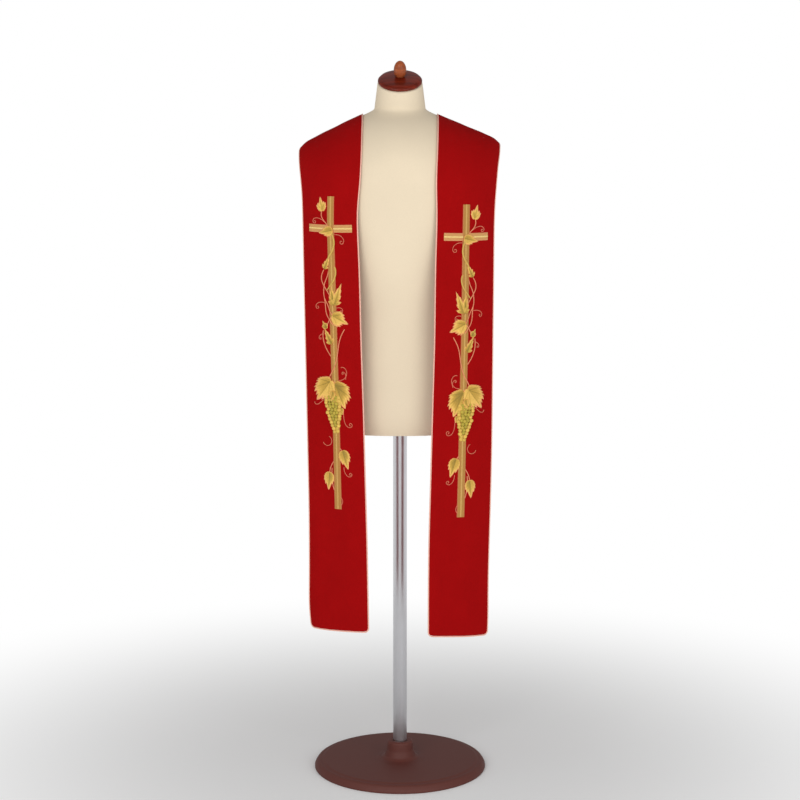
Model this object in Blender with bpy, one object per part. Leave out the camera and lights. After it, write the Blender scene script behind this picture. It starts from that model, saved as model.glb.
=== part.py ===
"""A clerical stole lying on the shoulders of a limbless dress form.

The stole is two bands of cloth, one for each side, joined by a seam at the centre of the back
neck. Each band is a thin wall that runs from the back seam over the shoulder and hangs down the
front. Metres, +Z up, the wearer faces -Y, and the floor is at z = 0 under the pole.
"""

import math
from collections import namedtuple

import bmesh
import bpy
import numpy as np
from mathutils import Matrix

MM = 0.001

# Seams and resting faces
GAP = 0.3 * MM                 # left between pieces that touch or are sewn together
CLOTH = 2.0 * MM               # face cloth, interlining and back, pressed flat
PIPING_RADIUS = 1.5 * MM
CROSS_THICKNESS = 1.2 * MM

# The shoulder line that the bands lie over
NECK_POINT_X = 87 * MM         # where the bands' inner edges cross the shoulder line
NECK_POINT_Z = 1513 * MM
NECK_SLOPE = 0.45              # fall for each metre out, beside the neck
SHOULDER_SLOPE = {"right": 0.497, "left": 0.41}     # and further out: one shoulder hangs a little lower
SLOPE_CHANGE = 30 * MM         # over which the one fall passes into the other
TIP_START_X = 203 * MM         # past here the shoulder rounds down
TIP_ROUNDING = 18.0            # 1/m

# How the cloth curves round the body: half an ellipse in plan, wider and deeper at the hem
CHEST_Z = 1310 * MM
HEM_Z = 366 * MM
CHEST_HALF_WIDTH = 240 * MM
HEM_HALF_WIDTH = 281 * MM
CHEST_DEPTH = 153 * MM
HEM_DEPTH = 176 * MM
BACK_DEPTH = 110 * MM
FRONT_ARCH = (30 * MM, 0.85)   # height of the arch over the shoulder: a length, and a share of the depth
BACK_ARCH = (50 * MM, 1.0)

# Each band's sections on the hanging front: heights of its edges, and their distance from the middle
Front = namedtuple("Front", "inner_height outer_height inner outer")
FRONT = {
    "right": (
        Front(368, 366, 72, 204),
        Front(430, 430, 73, 203),
        Front(560, 560, 75, 202),
        Front(720, 720, 79, 204),
        Front(880, 880, 83, 207),
        Front(1040, 1040, 88, 210),
        Front(1200, 1200, 92, 213),
        Front(1310, 1310, 94, 215),
    ),
    "left": (
        Front(359, 350, 65, 198),
        Front(430, 430, 65, 197),
        Front(560, 560, 66, 199),
        Front(720, 720, 70, 203),
        Front(880, 880, 74, 205),
        Front(1040, 1040, 78, 206),
        Front(1200, 1200, 80, 207),
        Front(1310, 1310, 82, 209),
    ),
}

# Sections up to the shoulder line and, alike on both sides, round the back neck: over is the way along
# the cloth from the shoulder line, positive in front and negative behind
Shoulder = namedtuple("Shoulder", "inner_over inner outer_over outer")
SHOULDER = {
    "right": (
        Shoulder(225, 89, 130, 217),
        Shoulder(170, 86, 95, 220),
        Shoulder(110, 85, 60, 223),
        Shoulder(52, 85, 28, 224),
        Shoulder(0, 86, 0, 221),
    ),
    "left": (
        Shoulder(225, 81, 130, 213),
        Shoulder(170, 83, 95, 216),
        Shoulder(110, 85, 60, 220),
        Shoulder(52, 86, 28, 222),
        Shoulder(0, 86, 0, 220),
    ),
}
BACK = (
    Shoulder(-38, 84, -50, 208),
    Shoulder(-66, 72, -105, 181),
    Shoulder(-84, 54, -157, 141),
    Shoulder(-96, 31, -201, 89),
    Shoulder(-101, 14, -229, 42),
    Shoulder(-103, 0, -245, 0),
)

BAND_COLUMNS = 8
HANGING_ROWS = 18              # up to the chest
SHOULDER_ROWS = 44             # from there to the back seam
PIPING_SIDES = 6

# The raised cross on each band, measured up from the hem and across from the band's middle
CROSS_HEIGHT = 693 * MM
CROSS_ARM_DOWN = 71 * MM       # from the top to the middle of the arm
CROSS_ARM_LENGTH = 111 * MM
CROSS_SHAFT = 18 * MM
CROSS_ARM = 17 * MM
ARM_CELLS = 6                  # on each side of the shaft
CROSS_FOOT = {"right": 275.5 * MM, "left": 270 * MM}
CROSS_SHIFT = {"right": -3 * MM, "left": 0.0}

# The dress form
Torso = namedtuple("Torso", "height half_width front back")
TORSO = (
    Torso(800, 158, 104, 112),
    Torso(815, 166, 110, 118),
    Torso(880, 174, 116, 124),
    Torso(980, 162, 114, 112),
    Torso(1090, 149, 114, 94),
    Torso(1200, 166, 136, 98),
    Torso(1300, 180, 149, 106),
    Torso(1380, 206, 151, 108),
    Torso(1430, 216, 151, 108),
    Torso(1600, 216, 151, 108),
)
TORSO_SINK = 2.4 * MM          # the form's shoulder line lies this far under the middle of the cloth
TORSO_INSET = 3 * MM
SHOULDER_TIP_X = 211 * MM
NECK_TOP_Z = 1583 * MM
NECK_BASE_Z = 1490 * MM
NECK_TOP_RADIUS = 50 * MM
NECK_BASE_RADIUS = 62 * MM
NECK_LEAN = 20 * MM            # how far forward the neck's top stands
NECK_TILT = math.radians(27)   # of its top face, down in front
TILT_START_Z = 1532 * MM
FILLET = 22 * MM               # where the neck grows out of the shoulders
TORSO_SIDES = 48
CAP_RADIUS = 49.5 * MM
CAP_RIM = 9 * MM
CAP_HEIGHT = 15 * MM
KNOB_RADIUS = 14 * MM
KNOB_HEIGHT = 37 * MM
KNOB_WAIST = 15 * MM           # height of its widest part
POLE_RADIUS = 16 * MM
FLANGE_RADIUS = 50 * MM
FLANGE_HEIGHT = 8 * MM
BASE_RADIUS = 200 * MM
BASE_HEIGHT = 20 * MM
HUB_RADIUS = 30 * MM
HUB_HEIGHT = 62 * MM
SOCKET_FLOOR_Z = 28 * MM
TURNED_STEPS = 48


# ---------------------------------------------------------------- cloth shape

def ridge_height(x, slope):
    """The shoulder line's height: level at the neck's middle, an even fall that passes into the
    shoulder's own slope, then a rounded tip."""
    past_tip = np.maximum(0, x - TIP_START_X)
    past_neck = np.maximum(0, x - NECK_POINT_X)
    to_neck = np.maximum(0, NECK_POINT_X - x)
    even = NECK_POINT_Z - NECK_SLOPE * (x - NECK_POINT_X + to_neck ** 2 / (2 * NECK_POINT_X))
    change = (slope - NECK_SLOPE) * past_neck ** 2 / (past_neck + SLOPE_CHANGE)
    return even - change - TIP_ROUNDING * past_tip ** 2


def plan_depth(x, z, depth_at_chest, depth_at_hem):
    """How far the cloth stands off the middle plane, as an ellipse in plan that grows to the hem."""
    share = np.clip((CHEST_Z - z) / (CHEST_Z - HEM_Z), 0, 1.1)
    half_width = CHEST_HALF_WIDTH + share * (HEM_HALF_WIDTH - CHEST_HALF_WIDTH)
    depth = depth_at_chest + share * (depth_at_hem - depth_at_chest)
    return depth * np.sqrt(np.maximum(0.01, 1 - (x / half_width) ** 2))


def arch(x, front):
    """The quarter ellipse that the cloth follows over the shoulder: its depth, height and length."""
    depth = plan_depth(x, CHEST_Z, CHEST_DEPTH if front else BACK_DEPTH, 0)
    least, share = FRONT_ARCH if front else BACK_ARCH
    height = least + share * depth
    return depth, height, math.pi / 2 * np.sqrt((depth ** 2 + height ** 2) / 2)


def hanging_over(x, z, slope):
    """The way along the cloth from the shoulder line down to height z, below the front arch."""
    _, height, length = arch(x, True)
    return length + ridge_height(x, slope) - height - z


def draped_point(x, over, slope):
    """The cloth's middle surface, at distance x from the middle and a way over from the shoulder line."""
    points = []
    for front in (True, False):
        depth, height, length = arch(x, front)
        way = np.abs(over)
        turn = np.minimum(way / length, 1) * math.pi / 2
        z = ridge_height(x, slope) - height * (1 - np.cos(turn)) - np.maximum(0, way - length)
        if front:
            depth = plan_depth(x, z, CHEST_DEPTH, HEM_DEPTH)
        points.append((np.sin(turn) * (-depth if front else depth), z))
    (y_front, z_front), (y_back, z_back) = points
    in_front = over >= 0
    return np.stack([x, np.where(in_front, y_front, y_back), np.where(in_front, z_front, z_back)], -1)


def spline(knots, values, at):
    """A natural cubic spline through the rows of values at knots, each column read at its place in at."""
    step = np.diff(knots)
    n = len(knots)
    system = np.eye(n)
    right = np.zeros_like(values)
    for i in range(1, n - 1):
        system[i, i - 1:i + 2] = step[i - 1], 2 * (step[i - 1] + step[i]), step[i]
        right[i] = 6 * ((values[i + 1] - values[i]) / step[i] - (values[i] - values[i - 1]) / step[i - 1])
    bend = np.linalg.solve(system, right)
    k = np.clip(np.searchsorted(knots, at, side="right") - 1, 0, n - 2)
    low, high, h = at - knots[k], knots[k + 1] - at, step[k]
    column = np.arange(values.shape[1])
    v0, v1, b0, b1 = values[k, column], values[k + 1, column], bend[k, column], bend[k + 1, column]
    return ((b0 * high ** 3 + b1 * low ** 3) / (6 * h)
            + (v0 / h - b0 * h / 6) * high + (v1 / h - b1 * h / 6) * low)


class Band:
    """One side of the stole. share runs across from the inner edge, 0, to the outer one, 1."""

    def __init__(self, side):
        self.side = side
        self.sign = -1 if side == "right" else 1
        self.slope = SHOULDER_SLOPE[side]
        middle = self.section_values(np.array([0.5]))
        line = draped_point(middle[0][:, 0], middle[1][:, 0], self.slope)
        steps = np.linalg.norm(np.diff(line, axis=0), axis=1)
        self.knots = np.concatenate([[0], np.cumsum(steps)])
        self.length = self.knots[-1]

    def section_values(self, share):
        """x and over of every section at these shares, one column for each share."""
        xs, overs = [], []
        for row in FRONT[self.side]:
            x = (row.inner + share * (row.outer - row.inner)) * MM
            z = (row.inner_height + share * (row.outer_height - row.inner_height)) * MM
            xs.append(x)
            overs.append(hanging_over(x, z, self.slope))
        for row in SHOULDER[self.side] + BACK:
            x = (row.inner + share * (row.outer - row.inner)) * MM
            xs.append(np.maximum(x, GAP / 2))
            overs.append((row.inner_over + share * (row.outer_over - row.inner_over)) * MM)
        return np.array(xs), np.array(overs)

    def middle_surface(self, share, along):
        """Points on the middle of the cloth: share across, and along it from the hem in metres."""
        share, along = np.broadcast_arrays(np.asarray(share, float), np.asarray(along, float))
        xs, overs = self.section_values(share.ravel())
        x, over = (spline(self.knots, values, along.ravel()) for values in (xs, overs))
        point = draped_point(x, over, self.slope)
        point[:, 0] *= self.sign
        return point.reshape(*share.shape, 3)

    def normal(self, share, along):
        """The cloth's outward direction, from the cross product of its two small steps."""
        small = 0.5 * MM
        across = self.middle_surface(share + 0.004, along) - self.middle_surface(share - 0.004, along)
        up = self.middle_surface(share, along + small) - self.middle_surface(share, along - small)
        out = np.cross(across, up) * self.sign
        return out / np.linalg.norm(out, axis=-1, keepdims=True)

    def point(self, share, along, lift):
        """A point that is lift outside the middle of the cloth."""
        return self.middle_surface(share, along) + lift * self.normal(share, along)

    def rows(self):
        """Where the rows of points lie along the band: wide apart where it hangs, close over the shoulder."""
        chest = self.knots[len(FRONT[self.side]) - 1]
        return np.concatenate([
            np.linspace(0, chest, HANGING_ROWS + 1),
            np.linspace(chest, self.length, SHOULDER_ROWS + 1)[1:],
        ])

    def width(self, along):
        """The band's width at these places along it."""
        across = np.linspace(0, 1, 9)[:, None]
        line = self.middle_surface(across, np.asarray(along, float)[None, :])
        return np.linalg.norm(np.diff(line, axis=0), axis=-1).sum(0)


# ---------------------------------------------------------------- mesh helpers

def material(name, colour, roughness, metallic=0.0):
    made = bpy.data.materials.new(name)
    made.use_nodes = True
    shader = made.node_tree.nodes["Principled BSDF"]
    shader.inputs["Base Color"].default_value = (*colour, 1)
    shader.inputs["Roughness"].default_value = roughness
    shader.inputs["Metallic"].default_value = metallic
    return made


def add_object(name, mesh, surface, smooth=True):
    mesh.materials.append(surface)
    if smooth:
        mesh.shade_smooth()
    made = bpy.data.objects.new(name, mesh)
    bpy.context.scene.collection.objects.link(made)
    return made


def mesh_from(name, points, faces):
    mesh = bpy.data.meshes.new(name)
    mesh.from_pydata([tuple(p) for p in points], [], faces)
    mesh.validate()
    return mesh


def grid_faces(rows, columns, keep=None):
    """Quads of a grid of points, row by row, for the cells that keep allows."""
    return [
        (r * columns + c, r * columns + c + 1, (r + 1) * columns + c + 1, (r + 1) * columns + c)
        for r in range(rows - 1)
        for c in range(columns - 1)
        if keep is None or keep[r, c]
    ]


def walled(name, outer, inner, faces):
    """A closed wall between two sheets that share their faces, with a strip along every free edge."""
    used = sorted({i for face in faces for i in face})
    place = {old: new for new, old in enumerate(used)}
    front = [tuple(place[i] for i in face) for face in faces]
    count = len(used)
    back = [tuple(i + count for i in reversed(face)) for face in front]
    edges = {(face[k - 1], face[k]) for face in front for k in range(len(face))}
    sides = [(b, a, a + count, b + count) for a, b in sorted(edges) if (b, a) not in edges]
    mesh = mesh_from(name, np.concatenate([outer[used], inner[used]]), front + back + sides)
    return facing_out(mesh)


def facing_out(mesh):
    """Turns a closed mesh's faces so that they all face away from the solid."""
    work = bmesh.new()
    work.from_mesh(mesh)
    bmesh.ops.recalc_face_normals(work, faces=work.faces)
    work.to_mesh(mesh)
    work.free()
    return mesh


def tube_rings(centres, normals, radius, sides):
    """A round cord's rings of points, one for each centre."""
    tangents = np.gradient(centres, axis=0)
    tangents /= np.linalg.norm(tangents, axis=1, keepdims=True)
    across = np.cross(normals, tangents)
    across /= np.linalg.norm(across, axis=1, keepdims=True)
    up = np.cross(tangents, across)
    turn = np.linspace(0, 2 * math.pi, sides, endpoint=False)[None, :, None]
    return centres[:, None] + radius * (np.cos(turn) * up[:, None] + np.sin(turn) * across[:, None])


def tube(name, points, sides):
    """Joins rings of points into a closed cord with flat ends."""
    rings = len(points) // sides
    return facing_out(mesh_from(name, points, ring_faces(rings, sides)))


def ring_faces(rings, sides):
    """Quads between rings that follow each other, and one face over each end."""
    faces = [
        (k * sides + i, k * sides + (i + 1) % sides, (k + 1) * sides + (i + 1) % sides, (k + 1) * sides + i)
        for k in range(rings - 1)
        for i in range(sides)
    ]
    return faces + [tuple(range(sides))[::-1], tuple((rings - 1) * sides + i for i in range(sides))]


def turned(name, profile, surface, place):
    """A piece turned about its own +Z from a profile of (radius, height) that runs down the outside."""
    mesh = bpy.data.meshes.new(name)
    mesh.from_pydata([(r, 0, z) for r, z in profile], [(i, i + 1) for i in range(len(profile) - 1)], [])
    made = add_object(name, mesh, surface, smooth=False)
    made.matrix_world = place
    spin = made.modifiers.new("turn", "SCREW")
    spin.steps = spin.render_steps = TURNED_STEPS
    spin.use_merge_vertices = True
    spin.merge_threshold = 0.00001
    spin.use_smooth_shade = True
    return made


# ---------------------------------------------------------------- the stole

def panel(band, surface):
    """The band's wall, from its hem to the centre back seam."""
    share, along = np.meshgrid(np.linspace(0, 1, BAND_COLUMNS + 1), band.rows())
    outer, inner = (clear_of_seam(band, band.point(share, along, lift)) for lift in (CLOTH / 2, -CLOTH / 2))
    mesh = walled(f"panel_{band.side}", outer, inner, grid_faces(*share.shape))
    return add_object(mesh.name, mesh, surface)


def clear_of_seam(band, points):
    """Keeps a band's points on its own side of the centre back seam."""
    points = points.reshape(-1, 3).copy()
    points[:, 0] = band.sign * np.maximum(points[:, 0] * band.sign, GAP / 2)
    return points


def border(band):
    """Points of the band's edge with the cloth's normal and the way out of the edge at each.

    They run down the outer edge, along the hem and up the inner edge. At a corner the point is
    repeated while the way out swings round.
    """
    up = band.rows()
    swing = np.linspace(0, math.pi / 2, 5)[1:-1]
    across = np.linspace(1, 0, BAND_COLUMNS + 1)
    outer, outer_normal, outer_out = edge_frame(band, np.ones_like(up), up[::-1], along_edge=True)
    hem, hem_normal, hem_out = edge_frame(band, across, np.zeros_like(across), along_edge=False)
    inner, inner_normal, inner_out = edge_frame(band, np.zeros_like(up), up, along_edge=True)
    corners = []
    for first, second, at, normal in (
            (outer_out[-1], hem_out[0], outer[-1], outer_normal[-1]),
            (hem_out[-1], inner_out[0], inner[0], inner_normal[0])):
        turned_out = np.cos(swing)[:, None] * first + np.sin(swing)[:, None] * second
        turned_out /= np.linalg.norm(turned_out, axis=1, keepdims=True)
        corners.append((np.repeat(at[None], len(swing), 0), np.repeat(normal[None], len(swing), 0), turned_out))
    parts = [(outer, outer_normal, outer_out), corners[0], (hem, hem_normal, hem_out), corners[1],
             (inner, inner_normal, inner_out)]
    return [np.concatenate(kind) for kind in zip(*parts)]


def edge_frame(band, share, along, along_edge):
    """The edge's points, the cloth's normals there and the directions out of the edge in the cloth."""
    small = 0.5 * MM
    middle = band.middle_surface(share, along)
    normal = band.normal(share, along)
    if along_edge:
        run = band.middle_surface(share, along + small) - band.middle_surface(share, along - small)
        inside = band.middle_surface(np.full_like(share, 0.5), along)
    else:
        run = band.middle_surface(share + 0.004, along) - band.middle_surface(share - 0.004, along)
        inside = band.middle_surface(share, along + 10 * MM)
    out = np.cross(normal, run)
    out /= np.linalg.norm(out, axis=1, keepdims=True)
    out *= np.sign(np.sum(out * (middle - inside), axis=1, keepdims=True))
    return middle, normal, out


def piping(band, surface):
    """The cord sewn round the band, from the centre back round the hem and back to it."""
    at, normal, out = border(band)
    centres = at + (PIPING_RADIUS + GAP) * out
    rings = tube_rings(centres, normal, PIPING_RADIUS, PIPING_SIDES)
    mesh = tube(f"piping_{band.side}", clear_of_seam(band, rings), PIPING_SIDES)
    return add_object(mesh.name, mesh, surface)


def cross(band, surface):
    """A raised Latin cross: a grid over the band, of which only the shaft's and the arm's cells are kept."""
    foot = CROSS_FOOT[band.side]
    arm_middle = foot + CROSS_HEIGHT - CROSS_ARM_DOWN
    half_arm, half_shaft = CROSS_ARM_LENGTH / 2, CROSS_SHAFT / 2
    out = np.concatenate([[0], np.linspace(half_shaft, half_arm, ARM_CELLS + 1)])
    across = np.concatenate([-out[:0:-1], out]) + CROSS_SHIFT[band.side]
    below = np.linspace(foot, arm_middle - CROSS_ARM / 2, 25)
    above = np.linspace(arm_middle + CROSS_ARM / 2, foot + CROSS_HEIGHT, 4)
    along = np.concatenate([below, above])
    share, up = np.meshgrid(across, along)
    share = 0.5 + share / band.width(along)[:, None]
    arm_row = len(below) - 1
    keep = np.zeros((len(along) - 1, len(across) - 1), bool)
    keep[:, ARM_CELLS:ARM_CELLS + 2] = True
    keep[arm_row, :] = True
    under = CLOTH / 2 + GAP
    inner, outer = (band.point(share, up, lift).reshape(-1, 3) for lift in (under, under + CROSS_THICKNESS))
    mesh = walled(f"cross_{band.side}", outer, inner, grid_faces(len(along), len(across), keep))
    return add_object(mesh.name, mesh, surface, smooth=False)


# ---------------------------------------------------------------- the dress form

def torso_half_depth(x, z, front):
    """The form's depth at place x and height z: the cloth's arch, brought in, or 0 above it."""
    slope = np.where(x < 0, SHOULDER_SLOPE["right"], SHOULDER_SLOPE["left"])
    x = np.abs(x)
    depth, height, _ = arch(x, front)
    inside = np.sqrt(np.maximum(0, 1 - (x / SHOULDER_TIP_X) ** 6))
    depth = (depth - TORSO_INSET) * inside
    fall = ridge_height(x, slope) - TORSO_SINK - z
    share = np.clip(fall / height, 0, 1)
    return depth * np.sqrt(np.maximum(0, 1 - (1 - share) ** 2))


def shoulder_radius(turn, z, centre_y):
    """How far out the shoulders reach at each angle, found by halving."""
    near, far = np.zeros_like(turn), np.full_like(turn, 0.3)
    for _ in range(40):
        reach = (near + far) / 2
        x, y = reach * np.cos(turn), centre_y + reach * np.sin(turn)
        limit = np.where(y < 0, torso_half_depth(x, z, True), torso_half_depth(x, z, False))
        inside = np.abs(y) < limit
        near, far = np.where(inside, reach, near), np.where(inside, far, reach)
    return near


def smooth_most(a, b, blend):
    """The larger of a and b, rounded where they are within blend of each other."""
    h = np.maximum(blend - np.abs(a - b), 0) / blend
    return np.maximum(a, b) + h * h * blend / 4


def torso(surface):
    """The form's body and neck in one: level rings, tilted forward towards the neck's top."""
    heights = np.concatenate([
        [800, 806, 820], np.arange(850, 1350, 50), np.arange(1350, 1430, 20),
        np.arange(1430, 1540, 10), [1546, 1562, 1583],
    ]) * MM
    even = np.linspace(0, 2 * math.pi, TORSO_SIDES, endpoint=False)
    turn = even - 0.3 * np.sin(2 * even)
    table = np.array(TORSO) * MM
    sizes = [spline(table[:, 0], np.repeat(table[:, k:k + 1], len(heights), 1), heights) for k in (1, 2, 3)]
    rings = []
    for z, half_width, front, back in zip(heights, *sizes):
        rise = np.clip((z - NECK_BASE_Z) / (NECK_TOP_Z - NECK_BASE_Z), 0, 1)
        centre_y = -NECK_LEAN * rise
        depth = np.where(np.sin(turn) < 0, front, back)
        body = 1 / (np.abs(np.cos(turn) / half_width) ** 2.3 + np.abs(np.sin(turn) / depth) ** 2.3) ** (1 / 2.3)
        shoulders = shoulder_radius(turn, z, centre_y)
        reach = -smooth_most(-body, -shoulders, 12 * MM)
        neck = NECK_BASE_RADIUS + rise * (NECK_TOP_RADIUS - NECK_BASE_RADIUS)
        if z > NECK_POINT_Z - 120 * MM:
            reach = smooth_most(reach, np.full_like(reach, neck), FILLET)
        tilt = np.clip((z - TILT_START_Z) / (NECK_TOP_Z - TILT_START_Z), 0, 1)
        forward = reach * np.sin(turn) * (1 - tilt * (1 - math.cos(NECK_TILT)))
        level = z + math.tan(NECK_TILT) * tilt * forward
        rings.append(np.stack([reach * np.cos(turn), centre_y + forward, level], -1))
    return add_object("torso", tube("torso", np.concatenate(rings), TORSO_SIDES), surface)


def neck_cap(surface):
    """The turned wooden cap, with a rounded rim and a low dome, and its knob, square to the neck's top."""
    top = Matrix.Translation((0, -NECK_LEAN, NECK_TOP_Z)) @ Matrix.Rotation(NECK_TILT, 4, "X")
    edge = 3 * MM
    dome_radius = CAP_RADIUS - edge
    dome = [(dome_radius * math.sin(t), CAP_RIM + (CAP_HEIGHT - CAP_RIM) * math.cos(t))
            for t in np.linspace(0, math.pi / 2, 8)]
    cap = dome + [(CAP_RADIUS, CAP_RIM - edge), (CAP_RADIUS, edge), (dome_radius, 0), (0, 0)]
    turned("neck_cap", cap, surface, top @ Matrix.Translation((0, 0, GAP)))
    upper = [(KNOB_RADIUS * math.sin(t), KNOB_WAIST + (KNOB_HEIGHT - KNOB_WAIST) * math.cos(t))
             for t in np.linspace(0, math.pi / 2, 8)]
    foot_radius = 8 * MM
    lower = [(foot_radius + (KNOB_RADIUS - foot_radius) * math.cos(t), KNOB_WAIST * (1 - math.sin(t)))
             for t in np.linspace(0, math.pi / 2, 6)[1:]]
    turned("neck_knob", upper + lower + [(0, 0)], surface,
           top @ Matrix.Translation((0, 0, CAP_HEIGHT + 2 * GAP)))


def stand(metal, wood):
    """The pole with its flange under the torso, and the round base with a socket for the pole."""
    torso_bottom = TORSO[0].height * MM
    pole_foot = SOCKET_FLOOR_Z + GAP
    pole = [
        (0, torso_bottom - GAP), (FLANGE_RADIUS, torso_bottom - GAP),
        (FLANGE_RADIUS, torso_bottom - GAP - FLANGE_HEIGHT), (POLE_RADIUS, torso_bottom - GAP - FLANGE_HEIGHT),
        (POLE_RADIUS, pole_foot), (0, pole_foot),
    ]
    turned("pole", pole, metal, Matrix.Identity(4))
    bore = POLE_RADIUS + GAP
    bevel = 6 * MM
    base = [
        (0, SOCKET_FLOOR_Z), (bore, SOCKET_FLOOR_Z), (bore, HUB_HEIGHT), (HUB_RADIUS - 3 * MM, HUB_HEIGHT),
        (HUB_RADIUS, HUB_HEIGHT - 3 * MM), (HUB_RADIUS + 6 * MM, BASE_HEIGHT + 4 * MM),
        (HUB_RADIUS + 14 * MM, BASE_HEIGHT), (BASE_RADIUS - bevel, BASE_HEIGHT),
        (BASE_RADIUS, BASE_HEIGHT - bevel), (BASE_RADIUS, 0), (0, 0),
    ]
    turned("stand_base", base, wood, Matrix.Identity(4))


def main():
    for obj in list(bpy.data.objects):
        bpy.data.objects.remove(obj)
    red = material("red_cloth", (0.33, 0.006, 0.008), 0.8)
    gold_cord = material("gold_piping", (0.80, 0.52, 0.25), 0.45)
    gold_thread = material("gold_thread", (0.60, 0.36, 0.12), 0.4)
    jersey = material("cream_jersey", (0.80, 0.70, 0.53), 0.85)
    wood = material("mahogany", (0.10, 0.018, 0.010), 0.3)
    steel = material("pole_steel", (0.55, 0.55, 0.57), 0.3, 1.0)
    for side in ("right", "left"):
        band = Band(side)
        panel(band, red)
        piping(band, gold_cord)
        cross(band, gold_thread)
    torso(jersey)
    neck_cap(wood)
    stand(steel, wood)


main()
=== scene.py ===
"""Dresses a clerical stole and the limbless dress form it lies on: red cloth, gold piping, embroidery in
gold thread, cream jersey, turned mahogany and a steel pole. Laid out as a Blender add-on, run as a script.

Metres, +Z up, the wearer faces -Y. Each band of the stole is worked out in two steps: its smooth
drape over the shoulders, and then soft creases added along the cloth's normal. Needlework is drawn flat, as
(out, up, lift) from the foot of the band's cross, and then laid onto the band.
"""

import math
from collections import namedtuple

import bpy
import numpy as np
from bpy.props import FloatProperty, FloatVectorProperty, IntProperty, PointerProperty
from bpy.types import Operator, Panel, PropertyGroup
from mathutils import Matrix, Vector


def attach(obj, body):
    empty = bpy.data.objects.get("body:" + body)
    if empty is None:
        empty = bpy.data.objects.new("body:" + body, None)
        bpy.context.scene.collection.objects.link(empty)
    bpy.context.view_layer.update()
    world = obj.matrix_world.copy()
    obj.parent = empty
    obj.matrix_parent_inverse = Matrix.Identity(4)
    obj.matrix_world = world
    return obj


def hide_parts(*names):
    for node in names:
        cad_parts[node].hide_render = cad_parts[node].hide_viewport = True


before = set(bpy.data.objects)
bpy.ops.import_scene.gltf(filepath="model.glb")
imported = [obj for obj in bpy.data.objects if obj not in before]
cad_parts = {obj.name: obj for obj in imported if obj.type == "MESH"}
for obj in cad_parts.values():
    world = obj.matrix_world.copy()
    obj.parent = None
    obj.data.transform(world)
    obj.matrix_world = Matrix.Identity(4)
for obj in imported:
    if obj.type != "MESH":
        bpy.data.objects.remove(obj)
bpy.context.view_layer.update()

bl_info = {
    "name": "Clerical Stole on a Dress Form",
    "version": (1, 0, 0),
    "blender": (4, 5, 0),
    "location": "3D View > Sidebar > Stole",
    "description": "Makes the cloth, needlework, form and stage of a clerical stole",
    "category": "Add Mesh",
}

MM = 0.001
BODY = "root"
SIDES = ("right", "left")


def rows(columns, *values):
    """A table's rows, each with the names of its columns."""
    return tuple(columns(*row) for row in values)


# ---------------------------------------------------------------- the drape of the bands

GAP = 0.3 * MM
PIPING_OFF = 1.8 * MM          # the piping's middle from the panel's edge
NECK_POINT_X = 87 * MM
NECK_POINT_Z = 1513 * MM
NECK_SLOPE = 0.45              # how steeply the shoulder line falls at the neck
SHOULDER_SLOPE = {"right": 0.497, "left": 0.41}    # and over the shoulders
SLOPE_CHANGE = 30 * MM
TIP_START_X = 203 * MM
TIP_ROUNDING = 18.0            # of the parabola past the shoulder's tip, per metre
CHEST_Z = 1310 * MM
HEM_Z = 366 * MM
CHEST_HALF_WIDTH = 240 * MM
HEM_HALF_WIDTH = 281 * MM
CHEST_DEPTH = 153 * MM
HEM_DEPTH = 176 * MM
BACK_DEPTH = 110 * MM
FRONT_ARCH = (30 * MM, 0.85)   # the arch's least height, and the share of its depth added to that
BACK_ARCH = (50 * MM, 1.0)

# Sections across a band, from the hem up, in mm: the heights of its inner and its outer edge, and how
# far out these edges are.
Front = namedtuple("Front", "inner_height outer_height inner outer")
FRONT = {
    "right": rows(Front, (368, 366, 72, 204), (430, 430, 73, 203), (560, 560, 75, 202), (720, 720, 79, 204),
                  (880, 880, 83, 207), (1040, 1040, 88, 210), (1200, 1200, 92, 213), (1310, 1310, 94, 215)),
    "left": rows(Front, (359, 350, 65, 198), (430, 430, 65, 197), (560, 560, 66, 199), (720, 720, 70, 203),
                 (880, 880, 74, 205), (1040, 1040, 78, 206), (1200, 1200, 80, 207), (1310, 1310, 82, 209)),
}
# The same over the shoulder and behind it, where over is the way along the cloth from the shoulder
# line, forward, or back where negative.
Shoulder = namedtuple("Shoulder", "inner_over inner outer_over outer")
SHOULDER = {
    "right": rows(Shoulder, (225, 89, 130, 217), (170, 86, 95, 220), (110, 85, 60, 223), (52, 85, 28, 224),
                  (0, 86, 0, 221)),
    "left": rows(Shoulder, (225, 81, 130, 213), (170, 83, 95, 216), (110, 85, 60, 220), (52, 86, 28, 222),
                 (0, 86, 0, 220)),
}
BACK = rows(Shoulder, (-38, 84, -50, 208), (-66, 72, -105, 181), (-84, 54, -157, 141), (-96, 31, -201, 89),
            (-101, 14, -229, 42), (-103, 0, -245, 0))

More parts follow.
